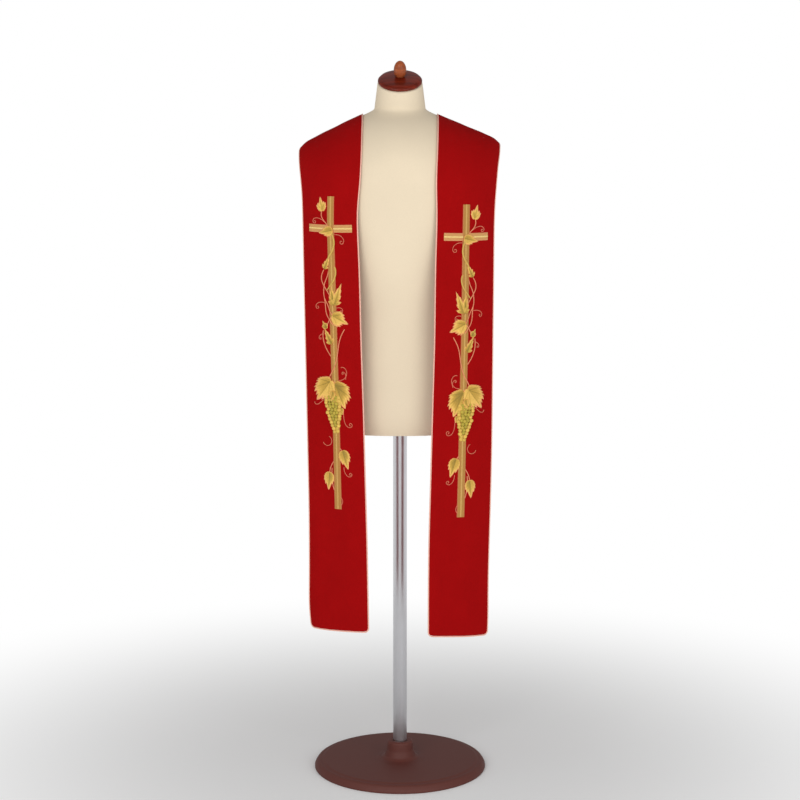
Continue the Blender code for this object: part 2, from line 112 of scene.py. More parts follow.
# Soft creases laid one by one: across is the share of the band's width at the crease's middle, lean how far
# that share moves from its low to its high end, low and high its ends in mm from the hem, width its
# half-width as a share, and height its rise in mm, or its fall where negative.
Crease = namedtuple("Crease", "across lean low high width height")
CREASES = {
    "right": rows(
        Crease,
        (0.30, 0.10, -120, 560, 0.15, 2.6),
        (0.66, -0.12, 60, 790, 0.13, -2.2),
        (0.88, 0.05, -80, 330, 0.11, 2.4),
        (0.16, -0.05, 420, 900, 0.12, -1.6),
        (0.52, 0.10, 640, 985, 0.16, 1.8),
        (0.82, -0.10, 800, 1060, 0.12, 1.5),
        (0.24, 0.14, 1000, 1230, 0.12, 1.3),
        (0.60, -0.10, 1120, 1350, 0.14, 1.6),
    ),
    "left": rows(
        Crease,
        (0.62, -0.08, -140, 480, 0.16, 2.8),
        (0.26, 0.10, 40, 640, 0.13, -2.3),
        (0.10, 0.02, -60, 280, 0.10, 2.0),
        (0.84, -0.06, 350, 860, 0.12, -1.8),
        (0.44, -0.12, 560, 960, 0.15, 2.0),
        (0.20, 0.08, 820, 1070, 0.12, 1.4),
        (0.70, -0.12, 1010, 1250, 0.13, 1.5),
        (0.36, 0.12, 1150, 1360, 0.13, 1.3),
    ),
}
CORNER_CURL = {"right": 9.0 * MM, "left": 4.0 * MM}     # how far the hem's outer corner curls back
CURL_REACH = 75 * MM                 # how far up from the hem the curl is felt
CURL_START, CURL_RUN = 0.55, 0.45    # where across the band it starts, and its run, as shares

WIDTH_PLACES = 160             # places along a band at which its width is measured
WIDTH_POINTS = 9               # points across it there
STEP_ALONG = 0.5 * MM          # the small steps whose cross product is the cloth's normal
STEP_ACROSS = 0.004
CORNER_ROWS = 7                # rings in the height of a hem corner
BAND_ROWS = 330                # rings from there to the centre back seam
BAND_COLUMNS = 46              # points from edge to edge
EDGE_CROWDING = 0.86           # how much closer they lie at the edges
EDGE_THINNING = 0.45           # the share of its thickness that the cloth loses at the edge
EDGE_SOFTNESS = 1.4 * MM
STRANDS = 3
CORD_SIDES = 12
CORD_GROOVE = 0.84             # the cord's radius between two strands, as a share
CORD_CROWN = 0.18              # what a strand's crown adds to that
CORNER_STEPS = 16
SHARP_ANGLE = math.radians(60)

# ---------------------------------------------------------------- needlework, in mm

CROSS_FOOT = {"right": 275.5 * MM, "left": 270 * MM}
CROSS_SHIFT = {"right": -3 * MM, "left": 0.0}
NEEDLE_SINK = 0.5 * MM         # how far needlework reaches into the cloth

SHAFT_RISE = 1.15 * MM
ARM_RISE = 0.8 * MM
BAR_STEP = 3 * MM
BAR_POINTS = 27                # points over a bar, from edge to edge
LINE_RISE, LINE_WIDTH = 0.22 * MM, 0.15
GROOVE_DEPTH, GROOVE_PLACE, GROOVE_WIDTH = 0.2 * MM, 0.33, 0.09

LEAF_RINGS = (0.02, 0.16, 0.32, 0.48, 0.62, 0.74, 0.85, 0.94, 1.0)    # shares of a leaf's reach
LEAF_DOME = 0.9 * MM
TOOTH_DEPTH = 0.16
VEIN_WIDTH, VEIN_DEPTH = 0.55 * MM, 0.35 * MM

STEM_SIDES = 10
STEM_FLATNESS = 0.6            # a stem's height as a share of its width
END_TAPER = 0.35               # its last radius, as a share
STEM_STEP, STEM_LIFT = 1.6, 0.5
SHAFT_REACH = 10               # how near the shaft's middle a stem rises over it or sinks
CROSSING_RISE, CROSSING_SINK = 1.3, 0.8
TENDRIL_STEPS = 80

BERRY_SIDES, BERRY_RINGS = 16, 7
BERRY_ROUNDNESS = 0.62
BERRY_LIFT = 1.2 * MM

# A leaf: where its stalk meets it, its reach from there to its tip, the way the tip points (0 up, 90
# outward), its kind, how much lighter it is than most, and its height over the cloth in mm.
Leaf = namedtuple("Leaf", "out up reach turn kind light lift")
LEAVES = rows(
    Leaf,
    (22, 663, 30, 12, "ivy", 0.2, 0.8),
    (-3, 618, 34, 100, "drop", 0.02, 2.2),
    (19, 534, 34, -28, "slim", -0.04, 1.4),
    (-2, 454, 44, 6, "slim", -0.2, 1.9),
    (-4, 455, 52, -22, "slim", 0.0, 2.1),
    (-1, 430, 40, -115, "broad", 0.1, 2.0),
    (19, 403, 18, 28, "ivy", -0.16, 0.7),
    (6, 368, 40, 26, "slim", -0.1, 1.8),
    (-2, 277, 56, -157, "vine", -0.1, 1.9),
    (12, 284, 54, 141, "vine", 0.12, 2.5),
    (-14, 226, 15, -165, "drop", 0.0, 0.9),
    (5, 262, 23, 168, "drop", 0.0, 4.2),
    (-15, 129, 41, -162, "drop", -0.08, 1.0),
    (20, 79, 38, 175, "drop", -0.02, 1.0),
)
# The outline of half a leaf: how far it reaches at each angle from its tip, as a share of its reach.
Outline = namedtuple("Outline", "turn reach")
OUTLINES = {
    "vine": rows(Outline, (0, 1.0), (14, 0.85), (28, 0.84), (42, 0.69), (58, 0.63), (80, 0.42), (115, 0.25),
                 (180, 0.08)),
    "broad": rows(Outline, (0, 1.0), (14, 0.78), (32, 0.72), (52, 0.60), (75, 0.38), (110, 0.20),
                  (180, 0.08)),
    "drop": rows(Outline, (0, 1.0), (9, 0.82), (24, 0.66), (44, 0.51), (68, 0.36), (105, 0.20), (180, 0.08)),
    "ivy": rows(Outline, (0, 1.0), (13, 0.70), (33, 0.66), (52, 0.56), (78, 0.36), (115, 0.22), (180, 0.08)),
    "slim": rows(Outline, (0, 1.0), (5, 0.77), (9, 0.79), (14, 0.55), (20, 0.57), (29, 0.34), (41, 0.35),
                 (72, 0.15), (180, 0.08)),
}
# The angles of a leaf's veins from its midrib, its teeth all round, and the points of its outline.
VEINS = {"vine": (0, 30, 62), "broad": (0, 38), "drop": (0,), "ivy": (0, 34), "slim": (0,)}
TEETH = {"vine": 36, "broad": 26, "drop": 20, "ivy": 18, "slim": 30}
LEAF_SIDES = {"vine": 252, "broad": 208, "drop": 160, "ivy": 144, "slim": 240}

# A stem runs through these bends; over is 1 where it lies over the shaft and 0 where it runs under it.
Bend = namedtuple("Bend", "out up over")
STEMS = (
    rows(Bend, (-28, 402, 0), (-19, 387, 0), (-12, 366, 0), (-8, 342, 1), (-3, 324, 1), (5, 308, 1),
         (12, 297, 1), (15, 289, 0)),
    rows(Bend, (26, 398, 0), (27, 384, 0), (24, 368, 0), (17, 353, 0), (8, 340, 0), (0, 330, 0)),
    rows(Bend, (20, 532, 0), (26, 521, 0), (27, 510, 0), (22, 498, 0), (14, 486, 0), (6, 474, 1),
         (0, 464, 1), (-4, 455, 1)),
    rows(Bend, (6, 538, 0), (8, 530, 0), (12, 517, 0), (19, 502, 0), (22, 486, 0), (21, 471, 0),
         (14, 457, 0), (7, 441, 1), (0, 430, 1)),
    rows(Bend, (21, 471, 0), (19, 459, 0), (18, 443, 0), (14, 429, 0), (7, 419, 1), (0, 410, 1)),
    rows(Bend, (19, 403, 0), (13, 415, 0), (6, 425, 1), (-1, 430, 1)),
    rows(Bend, (-1, 613, 1), (5, 624, 1), (12, 634, 0), (19, 641, 0), (24, 652, 0), (22, 663, 0)),
    rows(Bend, (-2, 146, 0), (-8, 137, 0), (-15, 129, 0)),
    rows(Bend, (2, 117, 0), (9, 106, 0), (16, 94, 0), (20, 79, 0)),
    rows(Bend, (13, 92, 0), (14, 79, 0), (13, 62, 0), (10, 46, 0), (4, 32, 0)),
)
# The vine itself is thicker where it winds down the upper shaft, once over it, behind it and over it
# again, and thins into the stem that it meets.
VINE = rows(Bend, (1, 618, 1), (-5, 607, 1), (-8, 595, 1), (-7, 583, 1), (-1, 570, 1), (6, 560, 1),
            (8, 553, 0), (3, 547, 0), (-4, 542, 0), (-9, 533, 0.1), (-9, 521, 1), (-4, 508, 1), (4, 498, 1),
            (14, 486, 0))

# A tendril: where it starts and the way it sets out, its length in mm, the angle that it turns through
# evenly, and the angle of the coil that it winds up into at its end.
Tendril = namedtuple("Tendril", "out up turn length arc coil")
TENDRILS = rows(
    Tendril,
    (14, 635, 50, 56, 60, 420),
    (-9, 609, -82, 54, -110, -330),
    (20, 459, 75, 44, 80, 330),
    (-9, 448, -70, 28, -80, -300),
    (26, 390, 100, 26, 80, 300),
    (-9, 288, -95, 52, 150, 60),
    (-26, 290, -20, 32, 80, 380),
    (24, 246, 112, 36, 60, -200),
    (-19, 221, 178, 68, 30, 440),
    (20, 162, 250, 44, -230, 0),
    (-17, 96, 178, 50, 90, 400),
    (-6, 28, 238, 40, -190, -40),
)
# The bunch of grapes: how many lie in each row, from the top; the middle of the bunch leans in.
BERRY_ROWS = (5, 5, 5, 5, 4, 5, 4, 4, 3, 3, 2, 2)
BUNCH_TOP = 250
BUNCH_OUT = 8
BUNCH_LEAN = 0.7
BERRY_PITCH = 8.3
BERRY_ROW_PITCH = 6.9

# ---------------------------------------------------------------- the dress form

# The body in mm: half its width, and its depth in front and behind, at each height.
Torso = namedtuple("Torso", "height half_width front back")
TORSO = rows(Torso, (800, 158, 104, 112), (815, 166, 110, 118), (880, 174, 116, 124), (980, 162, 114, 112),
             (1090, 149, 114, 94), (1200, 166, 136, 98), (1300, 180, 149, 106), (1380, 206, 151, 108),
             (1430, 216, 151, 108), (1600, 216, 151, 108))
TORSO_SINK = 2.4 * MM
TORSO_INSET = 3 * MM
SHOULDER_TIP_X = 211 * MM
NECK_TOP_Z = 1583 * MM
NECK_BASE_Z = 1490 * MM
NECK_TOP_RADIUS = 50 * MM
NECK_BASE_RADIUS = 62 * MM
NECK_LEAN = 20 * MM
NECK_TILT = math.radians(27)
TILT_START_Z = 1532 * MM
FILLET = 22 * MM
OVAL = 2.3                     # the body's rounded oval; 2 would be an ellipse
SHOULDER_BLEND = 12 * MM
TOP_ROUNDING, TOP_SOFTNESS = 1.5 * MM, 1.2 * MM
POLE_RADIUS = 16 * MM
BASE_RADIUS = 200 * MM
BEVEL_STEPS = 4
FLOOR_SIDES = 96


def part_way(start, end, share):
    """The place a share of the way from start to end."""
    return start + share * (end - start)


def ridge_height(x, slope):
    """The shoulder line: level in the middle, an even fall that passes into the shoulder's own slope,
    less a parabola past the tip."""
    past_tip = np.maximum(0, x - TIP_START_X)
    past_neck = np.maximum(0, x - NECK_POINT_X)
    to_neck = np.maximum(0, NECK_POINT_X - x)
    even = NECK_POINT_Z - NECK_SLOPE * (x - NECK_POINT_X + to_neck ** 2 / (2 * NECK_POINT_X))
    change = (slope - NECK_SLOPE) * past_neck ** 2 / (past_neck + SLOPE_CHANGE)
    return even - change - TIP_ROUNDING * past_tip ** 2


def plan_depth(x, z, depth_at_chest, depth_at_hem):
    """Half an ellipse in plan, whose half-width and depth grow in a straight line from chest to hem."""
    share = np.clip((CHEST_Z - z) / (CHEST_Z - HEM_Z), 0, 1.1)
    half_width = part_way(CHEST_HALF_WIDTH, HEM_HALF_WIDTH, share)
    depth = part_way(depth_at_chest, depth_at_hem, share)
    return depth * np.sqrt(np.maximum(0.01, 1 - (x / half_width) ** 2))


def arch(x, front):
    """The quarter ellipse over the shoulder: its depth, its height and the length of its curve."""
    depth = plan_depth(x, CHEST_Z, CHEST_DEPTH if front else BACK_DEPTH, 0)
    least, share = FRONT_ARCH if front else BACK_ARCH
    height = least + share * depth
    return depth, height, math.pi / 2 * np.sqrt((depth ** 2 + height ** 2) / 2)


def hanging_over(x, z, slope):
    """The way along the cloth from the shoulder line down to height z."""
    _, height, length = arch(x, True)
    return length + ridge_height(x, slope) - height - z


def draped_point(x, over, slope):
    """Over the shoulder the cloth follows an ellipse, y = depth sin(turn) and z = ridge - height
    (1 - cos(turn)); past a quarter turn it hangs straight down."""
    points = []
    for front in (True, False):
        depth, height, length = arch(x, front)
        way = np.abs(over)
        turn = np.minimum(way / length, 1) * math.pi / 2
        z = ridge_height(x, slope) - height * (1 - np.cos(turn)) - np.maximum(0, way - length)
        if front:
            depth = plan_depth(x, z, CHEST_DEPTH, HEM_DEPTH)
        points.append((np.sin(turn) * (-depth if front else depth), z))
    (y_front, z_front), (y_back, z_back) = points
    in_front = over >= 0
    return np.stack([x, np.where(in_front, y_front, y_back), np.where(in_front, z_front, z_back)], -1)


def spline(knots, values, at):
    """A natural cubic spline through the rows of values at knots, each column read at its place in at."""
    step = np.diff(knots)
    n = len(knots)
    system = np.eye(n)
    right = np.zeros_like(values)
    for i in range(1, n - 1):
        system[i, i - 1:i + 2] = step[i - 1], 2 * (step[i - 1] + step[i]), step[i]
        right[i] = 6 * ((values[i + 1] - values[i]) / step[i] - (values[i] - values[i - 1]) / step[i - 1])
    bend = np.linalg.solve(system, right)
    k = np.clip(np.searchsorted(knots, at, side="right") - 1, 0, n - 2)
    low, high, h = at - knots[k], knots[k + 1] - at, step[k]
    column = np.arange(values.shape[1])
    v0, v1, b0, b1 = values[k, column], values[k + 1, column], bend[k, column], bend[k + 1, column]
    return ((b0 * high ** 3 + b1 * low ** 3) / (6 * h)
            + (v0 / h - b0 * h / 6) * high + (v1 / h - b1 * h / 6) * low)


def curve(knots, values, at):
    """The same spline through one column of values, read at every place in at."""
    return spline(knots, np.repeat(values[:, None], len(at), 1), at)


class Band:
    """One side of the stole. share runs across from the inner edge, 0, to the outer one, 1, and along
    runs up from the hem, in metres."""

    def __init__(self, side):
        self.side = side
        self.sign = -1 if side == "right" else 1
        self.slope = SHOULDER_SLOPE[side]
        middle = self.section_values(np.array([0.5]))
        line = draped_point(middle[0][:, 0], middle[1][:, 0], self.slope)
        steps = np.linalg.norm(np.diff(line, axis=0), axis=1)
        self.knots = np.concatenate([[0], np.cumsum(steps)])
        self.length = self.knots[-1]
        self.width_places = np.linspace(0, self.length, WIDTH_PLACES)
        across = np.linspace(0, 1, WIDTH_POINTS)[:, None]
        lines = self.smooth_surface(across, self.width_places[None, :])
        self.widths = np.linalg.norm(np.diff(lines, axis=0), axis=-1).sum(0)

    def section_values(self, share):
        """x and over of every section at these shares, one column for each share."""
        xs, overs = [], []
        for row in FRONT[self.side]:
            x = part_way(row.inner, row.outer, share) * MM
            z = part_way(row.inner_height, row.outer_height, share) * MM
            xs.append(x)
            overs.append(hanging_over(x, z, self.slope))
        for row in SHOULDER[self.side] + BACK:
            xs.append(np.maximum(part_way(row.inner, row.outer, share) * MM, GAP / 2))
            overs.append(part_way(row.inner_over, row.outer_over, share) * MM)
        return np.array(xs), np.array(overs)

    def smooth_surface(self, share, along):
        """The middle of the cloth without its creases: splines through the sections, then the drape."""
        share, along = np.broadcast_arrays(np.asarray(share, float), np.asarray(along, float))
        xs, overs = self.section_values(share.ravel())
        x, over = (spline(self.knots, values, along.ravel()) for values in (xs, overs))
        point = draped_point(x, over, self.slope)
        point[:, 0] *= self.sign
        return point.reshape(*share.shape, 3)

    def normal(self, share, along):
        """The outward direction: the cross product of a small step across and a small step along."""
        surface = self.smooth_surface
        across = surface(share + STEP_ACROSS, along) - surface(share - STEP_ACROSS, along)
        up = surface(share, along + STEP_ALONG) - surface(share, along - STEP_ALONG)
        out = np.cross(across, up) * self.sign
        return out / np.linalg.norm(out, axis=-1, keepdims=True)

    def creases(self, share, along):
        """The creases' rise: bells across the band, each with smooth ends along it, less the curl of the
        hem's outer corner, which grows as the square of the nearness to the corner."""
        rise = np.zeros(np.broadcast(share, along).shape)
        for crease in CREASES[self.side]:
            run = np.clip((along / MM - crease.low) / (crease.high - crease.low), 0, 1)
            middle = crease.across + crease.lean * (run - 0.5)
            bell = np.exp(-((share - middle) / crease.width) ** 2)
            rise += crease.height * MM * bell * np.sin(math.pi * run) ** 2
        near = np.clip(1 - along / CURL_REACH, 0, 1) * np.clip((share - CURL_START) / CURL_RUN, 0, 1.2)
        return rise - CORNER_CURL[self.side] * near ** 2

    def point(self, share, along, lift):
        """A point of the creased cloth's middle, moved out by lift along the smooth normal."""
        raised = np.asarray(lift + self.creases(share, along))[..., None]
        return self.smooth_surface(share, along) + raised * self.normal(share, along)

    def width(self, along):
        """The band's width at these places along it."""
        return np.interp(along, self.width_places, self.widths)

    def own_side(self, rings):
        """The rings, kept half a gap clear of the middle plane, where the two bands meet."""
        rings[..., 0] = self.sign * np.maximum(rings[..., 0] * self.sign, GAP / 2)
        return rings

    def lay(self, flat):
        """Lays needlework drawn as (out, up, lift) from the foot of the cross onto the band's face."""
        out, up, lift = flat[..., 0], flat[..., 1], flat[..., 2]
        along = CROSS_FOOT[self.side] + up
        share = 0.5 + (out + CROSS_SHIFT[self.side]) / self.width(along)
        return self.point(share, along, lift + bpy.context.scene.stole.cloth_thickness / 2)


# ---------------------------------------------------------------- meshes from arrays

Patch = namedtuple("Patch", "points uv tone")


def grid_patch(points, along=None, tone=0.0):
    """A closed patch of rings. Its UV runs from 0 to 1 round a ring, and over the rings by the way along
    them, or from 0 to 1."""
    count, sides = points.shape[:2]
    if along is None:
        along = np.linspace(0, 1, count)
    uv = np.stack(np.broadcast_arrays(np.linspace(0, 1, sides + 1), along[:, None]), -1)
    return Patch(points, uv, np.broadcast_to(tone, (count, sides)))


def patch_faces(patch):
    """Quads between neighbouring rings, and strips of quads over the first and the last ring. The order
    of every face is turned over where the closed volume, the sum of p0 . (p1 x p2) / 6, is negative."""
    count, sides = patch.points.shape[:2]
    r, c = np.meshgrid(np.arange(count - 1), np.arange(sides), indexing="ij")
    here, above, after = r * sides, (r + 1) * sides, (c + 1) % sides
    quads = np.stack([here + c, here + after, above + after, above + c], -1).reshape(-1, 4)
    uv = patch.uv
    corner_uv = np.stack([uv[r, c], uv[r, c + 1], uv[r + 1, c + 1], uv[r + 1, c]], 2).reshape(-1, 4, 2)
    j = np.arange(sides // 2 - 1)
    strip = np.stack([j, j + 1, sides - 2 - j, sides - 1 - j], -1)
    first, last = strip[:, ::-1], strip + (count - 1) * sides
    flat_uv = uv[:, :sides].reshape(-1, 2)
    quads = np.concatenate([quads, first, last])
    corner_uv = np.concatenate([corner_uv, flat_uv[first], flat_uv[last]])
    p = patch.points.reshape(-1, 3)[quads]
    volume = np.sum(p[:, 0] * np.cross(p[:, 1], p[:, 2])) + np.sum(p[:, 0] * np.cross(p[:, 2], p[:, 3]))
    if volume < 0:
        quads, corner_uv = quads[:, ::-1], corner_uv[:, ::-1]
    return quads, corner_uv


def make_piece(name, patches, surface, replaced):
    """Joins patches into one mesh object, gives it its material, and ties it to the frame. Its colours
    go by the UV "stitch" and the tone of each point."""
    points, quads, uvs, tones, first = [], [], [], [], 0
    for patch in patches:
        faces, corner_uv = patch_faces(patch)
        points.append(patch.points.reshape(-1, 3))
        quads.append(faces + first)
        uvs.append(corner_uv)
        tones.append(np.ravel(patch.tone))
        first += len(points[-1])
    points, quads, uvs, tones = (np.concatenate(each) for each in (points, quads, uvs, tones))
    mesh = bpy.data.meshes.new(name)
    mesh.vertices.add(len(points))
    mesh.vertices.foreach_set("co", points.ravel().astype(np.float32))
    mesh.loops.add(quads.size)
    mesh.loops.foreach_set("vertex_index", quads.ravel().astype(np.int32))
    mesh.polygons.add(len(quads))
    mesh.polygons.foreach_set("loop_start", np.arange(0, quads.size, 4, dtype=np.int32))
    mesh.update(calc_edges=True)
    mesh.uv_layers.new(name="stitch").uv.foreach_set("vector", uvs.ravel().astype(np.float32))
    mesh.attributes.new("tone", "FLOAT", "POINT").data.foreach_set("value", tones.astype(np.float32))
    mesh.validate()
    mesh.shade_smooth()
    mesh.set_sharp_from_angle(angle=SHARP_ANGLE)
    mesh.materials.append(surface)
    piece = bpy.data.objects.new(name, mesh)
    bpy.context.scene.collection.objects.link(piece)
    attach(piece, BODY)
    if replaced:
        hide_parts(*replaced)
    return piece


def sew_on(surface, flat_pieces, stands_for=None):
    """Lays each piece's flat patches onto the right band and onto the left one, in gold thread."""
    for side in SIDES:
        band = Band(side)
        for name, flat in flat_pieces.items():
            patches = [patch._replace(points=band.lay(patch.points)) for patch in flat]
            replaced = [f"{stands_for}_{side}"] if stands_for else []
            make_piece(f"{name}_{side}", patches, surface, replaced)


def full_turn(sides):
    """Even angles once round."""
    return np.arange(sides) * 2 * math.pi / sides


def closed_beneath(face):
    """The face, then its last and its first ring again, sunk into the cloth, which close it beneath."""
    under = face[[-1, 0]].copy()
    under[..., 2] = -NEEDLE_SINK
    return np.concatenate([face, under])


def cord_patch(path, radius, tone):
    """Carries a low oval along a path of (out, up, lift): each ring's point is the path's point, plus
    radius cos(turn) square to the path, plus flatness radius sin(turn) of lift. Both ends taper."""
    run = np.gradient(path[:, :2], axis=0)
    run /= np.linalg.norm(run, axis=1, keepdims=True)
    square = np.stack([-run[:, 1], run[:, 0]], -1)
    turn = full_turn(STEM_SIDES)
    ends = np.ones(len(path))
    ends[[0, -1]] = END_TAPER
    reach = (np.broadcast_to(radius, len(path)) * ends)[:, None]
    rings = np.empty((len(path), STEM_SIDES, 3))
    rings[..., :2] = path[:, None, :2] + square[:, None] * (reach * np.cos(turn))[..., None]
    rings[..., 2] = path[:, None, 2] + reach * STEM_FLATNESS * np.sin(turn)
    return grid_patch(rings, path_length(path), tone)


def path_length(path):
    """The way along a path up to each of its points."""
    return np.concatenate([[0], np.cumsum(np.linalg.norm(np.diff(path, axis=0), axis=1))])


# ---------------------------------------------------------------- materials

class Graph:
    """A material's nodes, with short calls to add and link them."""

    def __init__(self, name, colour, roughness, **constants):
        self.material = bpy.data.materials.new(name)
        self.material.use_nodes = True
        self.tree = self.material.node_tree
        self.shader = self.tree.nodes["Principled BSDF"]
        self.shader.inputs["Base Color"].default_value = (*colour, 1)
        self.shader.inputs["Roughness"].default_value = roughness
        for socket, value in constants.items():
            self.shader.inputs[socket.replace("_", " ")].default_value = value

    def node(self, kind, inputs=None, **settings):
        """Adds a node; inputs maps a socket's name or number to a value or to another node's output."""
        made = self.tree.nodes.new("ShaderNode" + kind)
        for key, value in settings.items():
            setattr(made, key, value)
        for key, value in (inputs or {}).items():
            self.feed(made.inputs[key], value)
        return made

    def feed(self, socket, value):
        """Links a socket to another node's output, or sets its value."""
        if isinstance(value, bpy.types.NodeSocket):
            self.tree.links.new(value, socket)
        else:
            socket.default_value = value

    def math(self, operation, a, b=0.0):
        return self.node("Math", {0: a, 1: b}, operation=operation).outputs[0]

    def noise(self, vector, scale, detail, roughness=0.5):
        """Fractal noise from 0 to 1."""
        inputs = {"Vector": vector, "Scale": scale, "Detail": detail, "Roughness": roughness}
        return self.node("TexNoise", inputs).outputs["Fac"]

    def drawn_noise(self, vector, scale, detail, roughness=0.5):
        """Noise drawn out by its own scale along each axis."""
        drawn = self.node("Mapping", {"Vector": vector, "Scale": scale}).outputs[0]
        return self.noise(drawn, 1.0, detail, roughness)

    def between(self, fac, low, high):
        """A value that goes from low to high as fac goes from 0 to 1."""
        return self.node("MapRange", {"Value": fac, "To Min": low, "To Max": high}).outputs["Result"]

    def ramp(self, fac, stops):
        """A colour ramp through (place, colour) stops."""
        made = self.node("ValToRGB", {"Fac": fac})
        elements = made.color_ramp.elements
        while len(elements) < len(stops):
            elements.new(0.5)
        for element, (place, colour) in zip(elements, stops):
            element.position = place
            element.color = (*colour, 1)
        return made.outputs["Color"]

    def mix(self, fac, a, b):
        """A colour that goes from a to b as fac goes from 0 to 1."""
        return self.node("Mix", {0: fac, 6: (*a, 1), 7: (*b, 1)}, data_type="RGBA").outputs[2]

    def shaded(self, colour, fac, low, high):
        """The colour times a grey that goes from low to high as fac goes from 0 to 1."""
        inputs = {0: colour, "Scale": self.between(fac, low, high)}
        return self.node("VectorMath", inputs, operation="SCALE").outputs["Vector"]

    def uv(self):
        """The UV, and its two parts."""
        made = self.node("UVMap", uv_map="stitch")
        parts = self.node("SeparateXYZ", {"Vector": made.outputs["UV"]})
        return made.outputs["UV"], parts.outputs["X"], parts.outputs["Y"]

    def place(self):
        return self.node("TexCoord").outputs["Object"]

    def tone(self):
        return self.node("Attribute", attribute_name="tone").outputs["Fac"]

    def bump(self, height, distance, strength, after=None):
        """The surface's normal, tipped by a height, over another bump where one is given."""
        inputs = {"Height": height, "Distance": distance, "Strength": strength}
        if after is not None:
            inputs["Normal"] = after
        return self.node("Bump", inputs).outputs["Normal"]

    def finish(self, colour, normal, roughness=None):
        """Links what the shader takes, and gives the finished material."""
        self.feed(self.shader.inputs["Base Color"], colour)
        self.feed(self.shader.inputs["Normal"], normal)
        if roughness is not None:
            self.feed(self.shader.inputs["Roughness"], roughness)
        return self.material


def brighter(colour, times):
    """The colour times a number, no part of it over 1."""
    return [min(1.0, times * c) for c in colour]


def half_sine(graph, value, pitch):
    """0.5 + 0.5 sin(2 pi value / pitch)."""
    turned = graph.math("SINE", graph.math("MULTIPLY", value, 2 * math.pi / pitch))
    return graph.math("ADD", graph.math("MULTIPLY", turned, 0.5), 0.5)


def red_cloth():
    """A close plain weave: sines of the two threads, slubs drawn out along each, and slow mottling."""
    settings = bpy.context.scene.stole
    graph = Graph("red_cloth", settings.cloth_colour, 0.92, Specular_IOR_Level=0.02, Sheen_Weight=0.015,
                  Sheen_Roughness=0.6, Sheen_Tint=(1.0, 0.2, 0.15, 1.0))
    vector, across, along = graph.uv()
    pitch = settings.thread_pitch
    weave = graph.math("MULTIPLY", half_sine(graph, across, pitch), half_sine(graph, along, pitch))
    warp = graph.drawn_noise(vector, (1600, 90, 1), 2)
    weft = graph.drawn_noise(vector, (90, 1600, 1), 2)
    slubs = graph.math("ADD", warp, weft)
    slow = graph.noise(vector, 14.0, 4, 0.6)
    colour = graph.mix(graph.math("MULTIPLY", slubs, 0.5), settings.cloth_colour, settings.cloth_light)
    colour = graph.shaded(colour, slow, 0.86, 1.1)
    colour = graph.shaded(colour, weave, 0.86, 1.06)
    fine = graph.bump(weave, 0.25 * MM, 0.6)
    normal = graph.bump(slubs, 0.3 * MM, 0.35, fine)
    return graph.finish(colour, normal)


def thread_material(name, stops, pitch, along_ring=False):
    """Gold thread: a ramp over the tone, with painted shade between stitches from a sine for each stitch."""
    graph = Graph(name, stops[0][1], 0.5, Metallic=0.15, Specular_IOR_Level=0.25, Sheen_Weight=0.05)
    _, across, along = graph.uv()
    stitches = half_sine(graph, along if along_ring else across, pitch)
    mottle = graph.noise(graph.place(), 420.0, 3)
    fac = graph.math("ADD", graph.tone(), graph.math("MULTIPLY", graph.math("SUBTRACT", mottle, 0.5), 0.3))
    # Painted shade: the colour is darker between stitches.
    colour = graph.shaded(graph.ramp(fac, stops), stitches, 0.76, 1.08)
    normal = graph.bump(stitches, 0.18 * MM, 0.7)
    return graph.finish(colour, normal)


def piping_material():
    """Twisted gold cord: painted highlight on the strands' crowns and painted shade between them, with fine
    fibres.
    """
    settings = bpy.context.scene.stole
    graph = Graph("gold_piping", settings.piping_colour, 0.5, Metallic=0.1, Specular_IOR_Level=0.25,
                  Sheen_Weight=0.05)
    _, across, along = graph.uv()
    fibres = half_sine(graph, graph.math("ADD", across, graph.math("MULTIPLY", along, 900)), 0.5)
    gold = settings.piping_colour
    # Painted shade between the strands; the brighter gold is painted highlight on their crowns.
    dark = [share * c for share, c in zip((0.62, 0.42, 0.36), gold)]
    colour = graph.ramp(graph.tone(), ((0.0, dark), (0.5, gold), (1.0, brighter(gold, 1.1))))
    colour = graph.shaded(colour, fibres, 0.88, 1.05)
    return graph.finish(colour, graph.bump(fibres, 0.08 * MM, 0.6))


def cream_jersey():
    """Fine knitted jersey: noise drawn out in small columns, with slow mottling of the cream."""
    settings = bpy.context.scene.form
    graph = Graph("cream_jersey", settings.jersey_colour, 0.88, Specular_IOR_Level=0.15, Sheen_Weight=0.12)
    place = graph.place()
    knit = graph.drawn_noise(place, (900, 900, 420), 2)
    colour = graph.shaded(settings.jersey_colour, graph.noise(place, 9.0, 3), 0.95, 1.04)
    colour = graph.shaded(colour, knit, 0.93, 1.05)
    return graph.finish(colour, graph.bump(knit, 0.25 * MM, 0.5))


def mahogany(name, dark, light):
    """Polished mahogany: grain as noise drawn out along X, with pores, under a clear varnish."""
    graph = Graph(name, dark, 0.36, Coat_Weight=0.12, Coat_Roughness=0.08, Specular_IOR_Level=0.15)
    place = graph.place()
    grain = graph.drawn_noise(place, (14, 120, 120), 6, 0.6)
    pores = graph.drawn_noise(place, (90, 1400, 1400), 2)
    colour = graph.shaded(graph.ramp(grain, ((0.3, dark), (0.7, light))), pores, 0.8, 1.12)
    return graph.finish(colour, graph.bump(pores, 0.1 * MM, 0.3), graph.between(grain, 0.28, 0.42))


def satin_steel():
    """Satin steel tube: rings of fine brushing, as noise drawn out round the tube."""
    settings = bpy.context.scene.form
    graph = Graph("satin_steel", settings.steel_colour, 0.34, Metallic=1.0)
    place = graph.place()
    brushed = graph.drawn_noise(place, (30, 30, 2600), 3)
    colour = graph.shaded(settings.steel_colour, graph.noise(place, 18.0, 3), 0.92, 1.05)
    return graph.finish(colour, graph.bump(brushed, 0.05 * MM, 0.4), graph.between(brushed, 0.26, 0.44))


# ---------------------------------------------------------------- the stole

